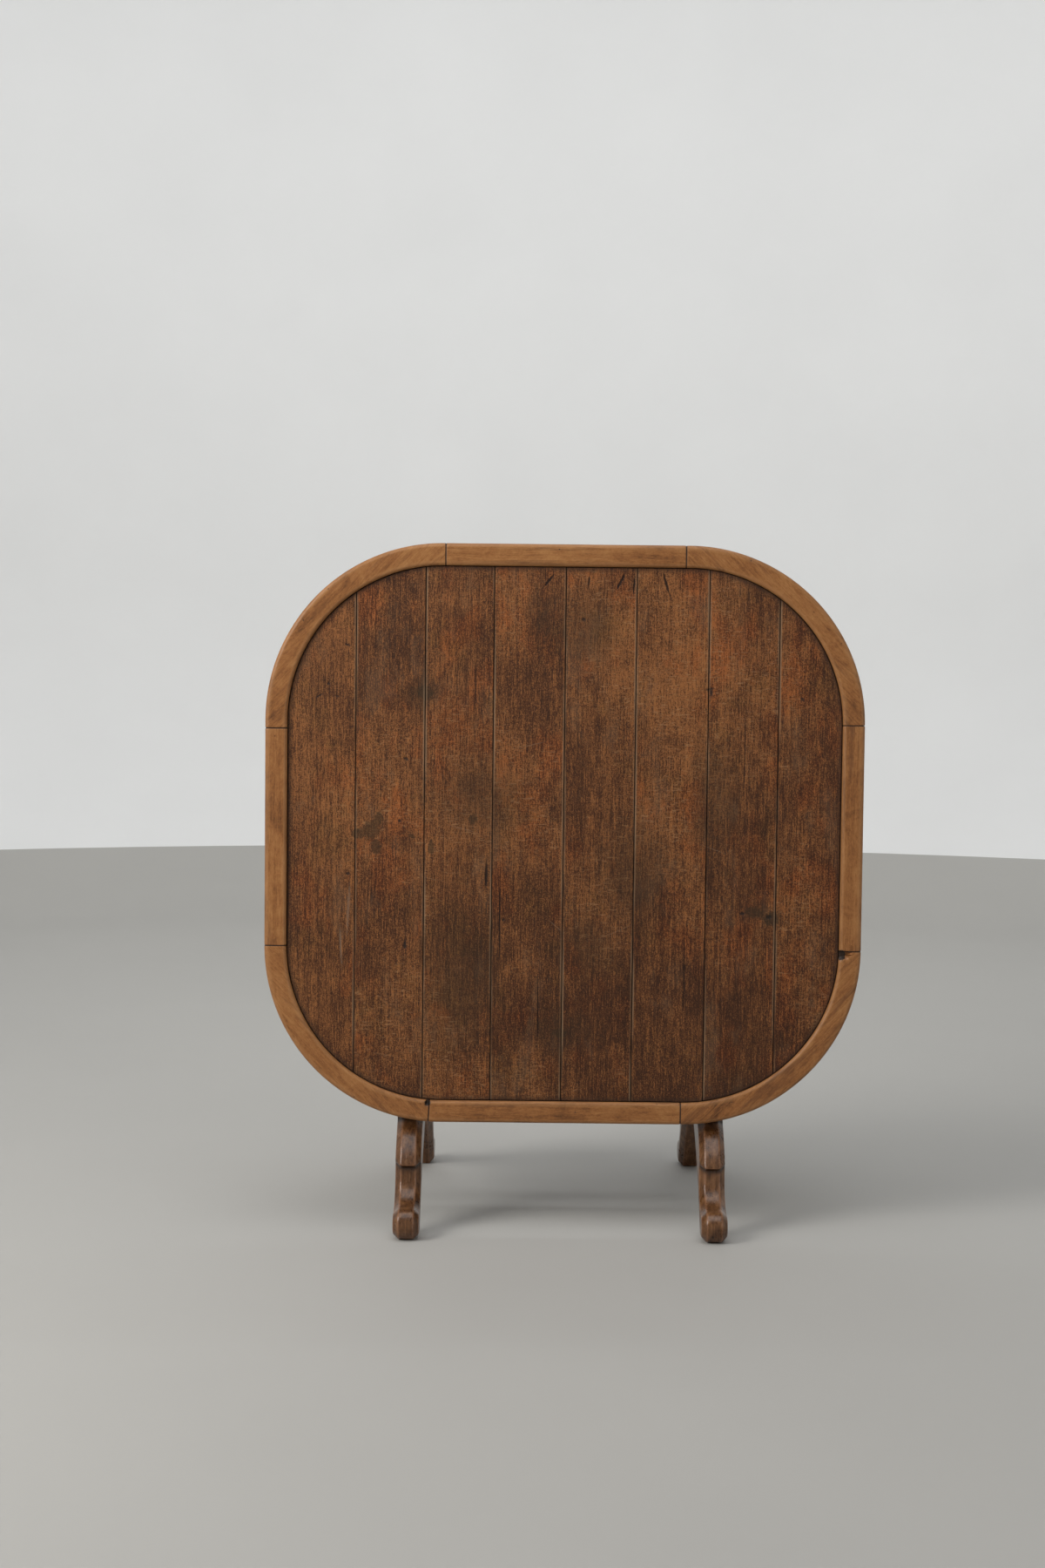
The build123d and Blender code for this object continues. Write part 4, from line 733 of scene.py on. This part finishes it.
# ---- rim ----
CORNERS = ("top_left", "top_right", "bottom_right", "bottom_left")
RAILS = ("top", "right", "bottom", "left")
RIM_LIGHT_AND_SHADE = {    # painted light and shade: the top and left pieces lighter, the bottom and right ones darker, as the light falls from the top left
    "top": 0.05, "left": 0.03, "right": 0.0, "bottom": -0.03,
    "top_left": 0.04, "top_right": 0.04, "bottom_right": -0.03, "bottom_left": 0.0,
}
RIM_STEP = 0.0095               # length of the mesh's rows away from the joints
JOINT_STEPS = (                 # places of its rows beside a joint
    0.0, 0.0006, 0.0018, 0.0032, 0.005, 0.007, 0.009, 0.011, 0.013, 0.015, 0.0175, 0.021,
)
JOINT_EASE = 0.0007             # how far the end of a piece is rubbed down
JOINT_EASE_LENGTH = 0.0012      # over what length it is rubbed down
RIM_SWELL = 0.00012             # unevenness left by hand scraping
INNER_FACE = 0.003              # what counts as the face towards the planks
LIP_SHADE_AND_GRIME, JOINT_GRIME = 0.0035, 0.0014     # how far painted shade and grime spread up that face, and grime from a joint
NICKS = {    # length, width and depth of what has broken off the start of a piece
    "bottom_right": (0.015, 0.016, 0.005), "bottom_left": (0.009, 0.009, 0.005),
}


class RimPath:
    """Clockwise round the top from the start of its top left corner, along the outer edge."""

    def __init__(self, shape):
        self.shape = shape
        self.arc = shape.radius * pi / 2
        self.runs = (2 * (shape.half_width - shape.radius), 2 * (shape.half_length - shape.radius))

    def corner_start(self, number):
        return number * self.arc + sum(self.runs[k % 2] for k in range(number))

    def total(self):
        return self.corner_start(4)

    def place(self, along):
        """Foot of the rim's section, its outward direction and its clockwise direction."""
        along %= self.total()
        number = max(k for k in range(4) if self.corner_start(k) <= along + 1e-9)
        rest = along - self.corner_start(number)
        angle = pi - number * pi / 2 - min(rest, self.arc) / self.shape.radius
        outward = Vector((cos(angle), 0.0, sin(angle)))
        onward = Vector((sin(angle), 0.0, -cos(angle)))
        side_x = -1 if number in (0, 3) else 1
        side_z = 1 if number in (0, 1) else -1
        centre = Vector((self.shape.middle.x + side_x * (self.shape.half_width - self.shape.radius),
                         self.shape.under_y,
                         self.shape.middle.z + side_z * (self.shape.half_length - self.shape.radius)))
        foot = centre + outward * self.shape.inner_radius + onward * max(rest - self.arc, 0.0)
        return foot, outward, onward

    def ends(self, name):
        """Where a rim piece begins and ends along the path, read from the frame."""
        low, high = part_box(name)
        shape = self.shape
        box = {"left": low.x, "right": high.x, "bottom": low.z, "top": high.z}
        x_arc = shape.half_width - shape.radius
        z_arc = shape.half_length - shape.radius
        kind = name.split("_", 2)[2]
        if kind in CORNERS:
            number = CORNERS.index(kind)
            start, end = self.corner_start(number), self.corner_start(number) + self.arc
            past = {"top": shape.middle.z + z_arc - box["bottom"],
                    "bottom": box["top"] - shape.middle.z + z_arc,
                    "left": box["right"] - shape.middle.x + x_arc,
                    "right": shape.middle.x + x_arc - box["left"]}
            upright, level = kind.split("_")
            before, after = (past[upright], past[level]) if number in (0, 2) else (past[level], past[upright])
            radius = shape.inner_radius
            return start - self.unrolled(before, radius), end + self.unrolled(after, radius)
        number = RAILS.index(kind)
        start, end = self.corner_start(number) + self.arc, self.corner_start(number + 1)
        if kind in ("top", "bottom"):
            inset = (box["left"] - shape.middle.x + x_arc, shape.middle.x + x_arc - box["right"])
        else:
            inset = (box["bottom"] - shape.middle.z + z_arc, shape.middle.z + z_arc - box["top"])
        first, last = inset if kind in ("top", "left") else inset[::-1]
        radius = shape.radius
        return start - self.unrolled(-first, radius, True), end + self.unrolled(-last, radius, True)

    def unrolled(self, distance, radius, straight=False):
        """Length along the outer edge for a distance past (or short of) the end of an arc."""
        inside = distance > 0 if straight else distance < 0
        if not inside:
            return distance
        return self.shape.radius * asin(distance / radius)


def rim_section(shape, settings, wobble):
    """Out from the planks and up from the underside, round the section of the rim."""
    width, height = shape.rim_width, shape.under_y - shape.face_y
    lip = settings.lip_round * (1.0 + 0.16 * wobble)
    outer = settings.outer_round * (1.0 - 0.14 * wobble)
    under = settings.under_round
    points = [(width * t, 0.0) for t in (0.0, 0.3, 0.6)]
    for step in range(5):
        a = pi / 2 * step / 4
        points.append((width - under + under * sin(a), under - under * cos(a)))
    points += [(width, under + (height - outer - under) * t) for t in (0.35, 0.7)]
    for step in range(8):
        a = pi / 2 * step / 7
        points.append((width - outer + outer * cos(a), height - outer + outer * sin(a)))
    flat = width - outer - lip
    points += [(lip + flat * t, height + RIM_SWELL * sin(pi * t)) for t in (0.8, 0.6, 0.4, 0.2)]
    for step in range(8):
        a = pi / 2 * step / 7
        points.append((lip - lip * sin(a), height - lip + lip * cos(a)))
    points += [(0.0, (height - lip) * t) for t in (0.66, 0.33)]
    return points


def rim_mesh(path, settings, node):
    """One piece of the rim: its section drawn along the path, with rubbed ends and broken lips."""
    shape = path.shape
    kind = node.split("_", 2)[2]
    start, end = path.ends(node)
    height = shape.under_y - shape.face_y
    plank_height = shape.under_y - shape.plank_y
    middle_foot, _, grain_way = path.place((start + end) / 2)
    square_way = Vector((-grain_way.z, 0.0, grain_way.x))
    nick = NICKS.get(kind)
    offset = 2.3 * (CORNERS + RAILS).index(kind)
    verts, grain, wear, grime, faces = [], [], [], [], []
    stations = spread(start, end, JOINT_STEPS, longest=RIM_STEP)
    for along in stations:
        foot, outward, _ = path.place(along)
        section = rim_section(shape, settings, waver(along * 9.0, 0.7, offset))
        from_end = min(along - start, end - along)
        shrink = JOINT_EASE * max(0.0, 1.0 - from_end / JOINT_EASE_LENGTH)
        for out, up in section:
            x_out = out + shrink * (-1 if out > shape.rim_width / 2 else 1 if up > plank_height else 0)
            x_up = up - (shrink if up > height / 2 else 0.0)
            if nick:
                far, across, depth = nick
                ragged = 1.0 + 0.35 * waver(along * 240.0, out * 200.0, 1.0)
                inside = (1.0 - (along - start) / (far * ragged)) * 3.0
                floor = plank_height + (height - depth - plank_height) * min(1.0, out / across)
                if inside > 0 and out < across * ragged and x_up > floor:
                    x_up += (floor - x_up) * min(1.0, inside)
            x_up += RIM_SWELL * waver(along * 60.0, out * 90.0, offset) if x_up > plank_height else 0.0
            point = foot + outward * x_out + Vector((0.0, -x_up, 0.0))
            verts.append(point)
            local = point - middle_foot
            grain.append((local.dot(grain_way) + offset, local.dot(square_way) + offset, -local.y))
            on_lip = out < settings.lip_round and up > height - settings.lip_round
            on_outer = out > shape.rim_width - settings.outer_round and up > height - settings.outer_round
            wear.append(0.9 if on_outer or on_lip else 0.0)
            # Painted shade, with grime, at the foot of the lip beside the planks; grime near the joints
            deep = 1.0 - (up - plank_height + 0.001) / LIP_SHADE_AND_GRIME if out < INNER_FACE else 0.0
            grime.append(max(0.0, min(1.0, deep), 1.0 - from_end / JOINT_GRIME))
    ring = len(section)
    for row in range(len(stations) - 1):
        for k in range(ring):
            m = (k + 1) % ring
            a, b = row * ring + k, row * ring + m
            faces.append((a, b, b + ring, a + ring))
    faces.append(tuple(range(ring - 1, -1, -1)))
    faces.append(tuple((len(stations) - 1) * ring + k for k in range(ring)))
    mesh = bpy.data.meshes.new(node)
    mesh.from_pydata(verts, [], faces)
    store(mesh, "grain", "FLOAT_VECTOR", grain)
    store(mesh, "wear", "FLOAT", wear)
    store(mesh, "grime", "FLOAT", grime)
    store(mesh, "board", "FLOAT", [RIM_LIGHT_AND_SHADE[kind]] * len(verts))
    return mesh


# ---- timbers taken from the frame and worn ----
SHARP = radians(24)                     # angle at which an edge counts as sharp
RUB_REACH, HOLLOW_REACH = 0.0045, 0.012     # how far rubbing, and grime with painted shade, spread from an edge
SWELL, WASTE = 0.00035, 0.0002          # unevenness of a hand-worked face, and the wood lost from it


def sharp_points(mesh, outward, step=0.004):
    """Points along the sharp edges of a mesh that stand out, or along those that turn in."""
    shell = bmesh.new()
    shell.from_mesh(mesh)
    bmesh.ops.remove_doubles(shell, verts=shell.verts, dist=1e-6)
    points = []
    for edge in shell.edges:
        turns_right = len(edge.link_faces) == 2 and edge.is_convex == outward
        if turns_right and edge.calc_face_angle(0.0) > SHARP:
            a, b = (v.co for v in edge.verts)
            count = max(1, ceil((b - a).length / step))
            points += [a.lerp(b, k / count) for k in range(count + 1)]
    shell.free()
    return points


def softened(node, settings, keep):
    """The node's solid as one mesh with its edges rubbed round, thinned to a share of its faces."""
    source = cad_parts[node]
    shell = bmesh.new()
    shell.from_mesh(source.data)
    bmesh.ops.remove_doubles(shell, verts=shell.verts, dist=1e-6)
    rough = bpy.data.meshes.new(node + "_rough")
    shell.to_mesh(rough)
    shell.free()
    holder = bpy.data.objects.new(node + "_rough", rough)
    bpy.context.scene.collection.objects.link(holder)
    remesh = holder.modifiers.new("remesh", "REMESH")
    remesh.mode = "VOXEL"
    remesh.voxel_size = settings.grid
    smooth = holder.modifiers.new("smooth", "SMOOTH")
    smooth.factor, smooth.iterations = 0.5, settings.rounding
    thin = holder.modifiers.new("thin", "DECIMATE")
    thin.ratio = keep
    evaluated = holder.evaluated_get(bpy.context.evaluated_depsgraph_get())
    mesh = bpy.data.meshes.new_from_object(evaluated)
    bpy.data.objects.remove(holder)
    return mesh


def search_tree(points):
    """A tree that finds how far a place is from the nearest of some points."""
    tree = KDTree(max(1, len(points)))
    for k, point in enumerate(points or [Vector((0.0, 0.0, -9.0))]):
        tree.insert(point, k)
    tree.balance()
    return tree


def timber_mesh(node, settings, along, number, keep=0.35):
    """A worn timber: rubbed edges, hand-worked faces, and its grain along an axis."""
    mesh = softened(node, settings, keep)
    edges = search_tree(sharp_points(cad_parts[node].data, True))
    corners = search_tree(sharp_points(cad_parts[node].data, False))
    axis = "XYZ".index(along)
    others = [k for k in range(3) if k != axis]
    grain, wear, hollow = [], [], []
    normals = [v.normal.copy() for v in mesh.vertices]
    for vertex, normal in zip(mesh.vertices, normals):
        place = vertex.co.copy()
        wear.append(max(0.0, 1.0 - edges.find(place)[2] / RUB_REACH))
        hollow.append(max(0.0, 1.0 - corners.find(place)[2] / HOLLOW_REACH))
        grain.append((place[axis] + 1.7 * number, place[others[0]] + 0.9 * number, place[others[1]]))
        swell = waver(place.x * 11.0, place.y * 11.0, place.z * 11.0 + number)
        vertex.co = place + normal * (SWELL * swell - WASTE)
    store(mesh, "grain", "FLOAT_VECTOR", grain)
    store(mesh, "wear", "FLOAT", wear)
    store(mesh, "grime", "FLOAT", hollow)
    return mesh


def finish_node(node, material):
    """Give a CAD node that keeps its shape a better finish."""
    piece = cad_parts[node]
    piece.data.materials.clear()
    piece.data.materials.append(material)


MATERIALS = {}


def finish_named(name):
    """One of the table's finishes, made when it is first wanted."""
    if name not in MATERIALS:
        scene = bpy.context.scene
        top, base, metal = scene.table_top, scene.table_base, scene.table_metal
        makers = {
            "plank_oak": lambda: plank_oak(top),
            "rim_oak": lambda: rim_oak(top),
            "rim_oak_pins": lambda: rim_oak(top, "Y", "rim_oak_pins"),
            "under_oak": lambda: under_oak(top),
            "under_oak_tongues": lambda: under_oak(top, "Z", "under_oak_tongues"),
            "base_oak": lambda: base_oak(base),
            "base_oak_level": lambda: base_oak(base, "X", "base_oak_level"),
            "base_oak_upright": lambda: base_oak(base, "Z", "base_oak_upright"),
            "iron": lambda: iron(metal),
            "brass": lambda: brass(metal),
        }
        MATERIALS[name] = makers[name]()
    return MATERIALS[name]


# ---- operators ----
class TABLE_OT_planks(bpy.types.Operator):
    """Build the planks of the top"""
    bl_idname = "table.planks"
    bl_label = "Planks"

    def execute(self, context):
        settings = context.scene.table_top
        shape = TopShape(settings)
        for index, node in enumerate(PLANKS):
            mesh = plank_mesh(shape, settings, index)
            piece = make_piece("oak_" + node, mesh, "top", [node],
                               [finish_named("plank_oak"), finish_named("under_oak")])
            for face in piece.data.polygons:
                if face.normal.y > 0.7:
                    face.material_index = 1
        return {"FINISHED"}


class TABLE_OT_rim(bpy.types.Operator):
    """Build the eight pieces of the rim"""
    bl_idname = "table.rim"
    bl_label = "Rim"

    def execute(self, context):
        settings = context.scene.table_top
        path = RimPath(TopShape(settings))
        for node in [f"rim_corner_{c}" for c in CORNERS] + [f"rim_straight_{r}" for r in RAILS]:
            mesh = rim_mesh(path, settings, node)
            make_piece("oak_" + node, mesh, "top", [node], [finish_named("rim_oak")])
        return {"FINISHED"}


class TABLE_OT_underframe(bpy.types.Operator):
    """Build the battens and bearers under the top"""
    bl_idname = "table.underframe"
    bl_label = "Battens and bearers"

    def execute(self, context):
        timbers = [("batten_lower", "X"), ("batten_upper", "X"), ("bearer_left", "Z"), ("bearer_right", "Z")]
        for number, (node, along) in enumerate(timbers):
            mesh = timber_mesh(node, context.scene.table_base, along, number)
            make_piece("oak_" + node, mesh, "top", [node], [finish_named("under_oak")])
        return {"FINISHED"}


class TABLE_OT_trestles(bpy.types.Operator):
    """Build the legs, columns and pivot blocks of the two ends"""
    bl_idname = "table.trestles"
    bl_label = "Trestle ends"

    def execute(self, context):
        timbers = [(f"leg_{end}_{side}", "Z") for side in SIDES for end in ("front", "rear")]
        timbers += [(f"column_{side}", "Z") for side in SIDES]
        timbers += [(f"pivot_block_{side}", "Y") for side in SIDES]
        for number, (node, along) in enumerate(timbers, start=5):
            mesh = timber_mesh(node, context.scene.table_base, along, number)
            make_piece("oak_" + node, mesh, "base", [node], [finish_named("base_oak")])
        return {"FINISHED"}


class TABLE_OT_rails(bpy.types.Operator):
    """Build the stretcher and the upper rail"""
    bl_idname = "table.rails"
    bl_label = "Stretcher and rail"

    def execute(self, context):
        mesh = timber_mesh("lower_stretcher", context.scene.table_base, "X", 14)
        make_piece("oak_lower_stretcher", mesh, "base", ["lower_stretcher"],
                   [finish_named("base_oak")])
        # The rail keeps its own mesh, because the latch enters its pocket with little room
        finish_node("upper_rail", finish_named("base_oak_level"))
        return {"FINISHED"}


class TABLE_OT_joinery(bpy.types.Operator):
    """Finish the pins, keys, tongues, pegs, dowels and wedges"""
    bl_idname = "table.joinery"
    bl_label = "Joinery"

    def execute(self, context):
        finishes = {
            "plank_tongues": ("under_oak_tongues", "under_oak"), "rim_keys": ("rim_oak_pins", "rim_oak"),
            "rim_pins": ("rim_oak_pins", "rim_oak"), "leg_dowels": ("base_oak_level", "base_oak"),
            "block_pegs": ("base_oak_level", "base_oak"), "tusk_wedges": ("base_oak_upright", "base_oak"),
        }
        for node, (finish, slot) in finishes.items():
            finish_node(node, finish_named(finish))
        return {"FINISHED"}


class TABLE_OT_ironwork(bpy.types.Operator):
    """Finish the pivots and the iron screws"""
    bl_idname = "table.ironwork"
    bl_label = "Ironwork"

    def execute(self, context):
        for node in ("batten_screws", "bearer_screws", "pivot_bolts", "pivot_washers", "pivot_nuts"):
            finish_node(node, finish_named("iron"))
        return {"FINISHED"}


class TABLE_OT_catch(bpy.types.Operator):
    """Finish the brass catch, its keep and their screws"""
    bl_idname = "table.catch"
    bl_label = "Catch"

    def execute(self, context):
        for node in ("catch_housing", "catch_latch", "catch_knob", "catch_screws", "catch_keep",
                     "keep_screws"):
            finish_node(node, finish_named("brass"))
        return {"FINISHED"}


# ---- the stage ----
COVE = 1.3      # radius of the curve from the floor to the wall
FLOOR_RADIUS, WALL_HEIGHT = 4.4, 5.0
ROUND = 96      # sides of the round floor
LAMPS = (       # name, place, what it faces, width and height, power, tint
    ("window", (-2.9, -2.1, 2.4), None, (1.6, 2.2), 108.0, (1.0, 0.985, 0.96)),
    ("sky", (0.0, -1.4, 4.2), None, (3.2, 3.2), 62.0, (0.97, 0.98, 1.0)),
    ("wall_wash", (0.0, 1.6, 4.4), (0.0, 6.0, 1.2), (5.0, 1.2), 95.0, (0.98, 0.99, 1.0)),
    ("fill", (3.2, -2.6, 1.4), None, (2.0, 2.0), 12.0, (1.0, 0.97, 0.93)),
)


def studio_mesh(inner, outer):
    """A round floor that turns up into a wall, as a lathe shape; the wall begins at inner."""
    profile = [(0.0, 0.0), (1.0, 0.0), (inner * 0.6, 0.0)]
    for step in range(9):
        a = pi / 2 * step / 8
        profile.append((inner + COVE * sin(a), COVE - COVE * cos(a)))
    profile.append((inner + COVE, outer))
    turns = ROUND
    verts = [(0.0, 0.0, 0.0)]
    for reach, height in profile[1:]:
        for k in range(turns):
            angle = 2 * pi * k / turns
            verts.append((reach * cos(angle), reach * sin(angle), height))
    faces = [(0, 1 + k, 1 + (k + 1) % turns) for k in range(turns)]
    for ring in range(len(profile) - 2):
        base = 1 + ring * turns
        for k in range(turns):
            m = (k + 1) % turns
            faces.append((base + k, base + turns + k, base + turns + m, base + m))
    mesh = bpy.data.meshes.new("studio")
    mesh.from_pydata(verts, [], faces)
    mesh.shade_smooth()
    return mesh


def add_lamp(name, place, target, size, power, tint):
    """A rectangular soft lamp that faces its target."""
    lamp = bpy.data.lights.new(name, "AREA")
    lamp.shape = "RECTANGLE"
    lamp.size, lamp.size_y = size
    lamp.energy = power
    lamp.color = tint
    holder = bpy.data.objects.new(name, lamp)
    holder.location = place
    holder.rotation_euler = (Vector(target) - Vector(place)).to_track_quat("-Z", "Y").to_euler()
    bpy.context.scene.collection.objects.link(holder)


class TABLE_OT_stage(bpy.types.Operator):
    """Build the floor, the wall, the lights and the camera"""
    bl_idname = "table.stage"
    bl_label = "Stage"

    def execute(self, context):
        scene = context.scene
        settings = scene.table_stage
        mesh = studio_mesh(FLOOR_RADIUS, WALL_HEIGHT)
        mesh.materials.append(plain_finish("studio_floor", tuple(settings.floor), 0.75))
        mesh.materials.append(plain_finish("studio_wall", tuple(settings.wall), 0.9))
        for face in mesh.polygons:
            face.material_index = 1 if face.center.z > 0.25 else 0
        studio = bpy.data.objects.new("studio", mesh)
        scene.collection.objects.link(studio)
        middle = (CAD_BOX[0] + CAD_BOX[1]) / 2
        for name, place, target, size, power, tint in LAMPS:
            add_lamp(name, place, target or middle, size, power, tint)
        world = bpy.data.worlds.new("studio_air")
        world.use_nodes = True
        air = world.node_tree.nodes["Background"]
        air.inputs["Color"].default_value = (0.93, 0.96, 1.0, 1.0)
        air.inputs["Strength"].default_value = 0.25
        scene.world = world
        self.add_camera(scene, settings)
        scene.view_settings.view_transform = "Standard"
        return {"FINISHED"}

    def add_camera(self, scene, settings):
        data = bpy.data.cameras.new("camera")
        data.lens = settings.lens
        data.sensor_width = 36.0
        data.shift_x = settings.shift
        camera = bpy.data.objects.new("camera", data)
        level = Vector((1.0, 0.0, 0.0))
        rising = Vector((0.0, sin(settings.pitch), cos(settings.pitch)))
        right = level * cos(settings.roll) + rising * sin(settings.roll)
        up = rising * cos(settings.roll) - level * sin(settings.roll)
        back = right.cross(up)
        turn = Matrix((right, up, back)).transposed().to_4x4()
        camera.matrix_world = Matrix.Translation(settings.eye) @ turn
        scene.collection.objects.link(camera)
        scene.camera = camera


OPERATORS = (TABLE_OT_stage, TABLE_OT_planks, TABLE_OT_rim, TABLE_OT_underframe, TABLE_OT_trestles,
             TABLE_OT_rails, TABLE_OT_joinery, TABLE_OT_ironwork, TABLE_OT_catch)
SETTINGS = {"table_top": TableTopSettings, "table_base": TableBaseSettings,
            "table_metal": TableMetalSettings, "table_stage": TableStageSettings}


class VIEW3D_PT_table(bpy.types.Panel):
    """Lists the table's pieces and settings"""
    bl_label = "Table"
    bl_idname = "VIEW3D_PT_table"
    bl_space_type = "VIEW_3D"
    bl_region_type = "UI"
    bl_category = "Table"

    def draw(self, context):
        for operator in OPERATORS:
            self.layout.operator(operator.bl_idname)
        for name, group in SETTINGS.items():
            box = self.layout.box()
            for setting in group.__annotations__:
                box.prop(getattr(context.scene, name), setting)


def register():
    for name, group in SETTINGS.items():
        bpy.utils.register_class(group)
        setattr(bpy.types.Scene, name, bpy.props.PointerProperty(type=group))
    for operator in OPERATORS:
        bpy.utils.register_class(operator)
    bpy.utils.register_class(VIEW3D_PT_table)


def unregister():
    bpy.utils.unregister_class(VIEW3D_PT_table)
    for operator in reversed(OPERATORS):
        bpy.utils.unregister_class(operator)
    for name, group in SETTINGS.items():
        delattr(bpy.types.Scene, name)
        bpy.utils.unregister_class(group)


def main():
    register()
    for operator in OPERATORS:
        group, name = operator.bl_idname.split(".")
        getattr(getattr(bpy.ops, group), name)()


if __name__ == "__main__":
    main()
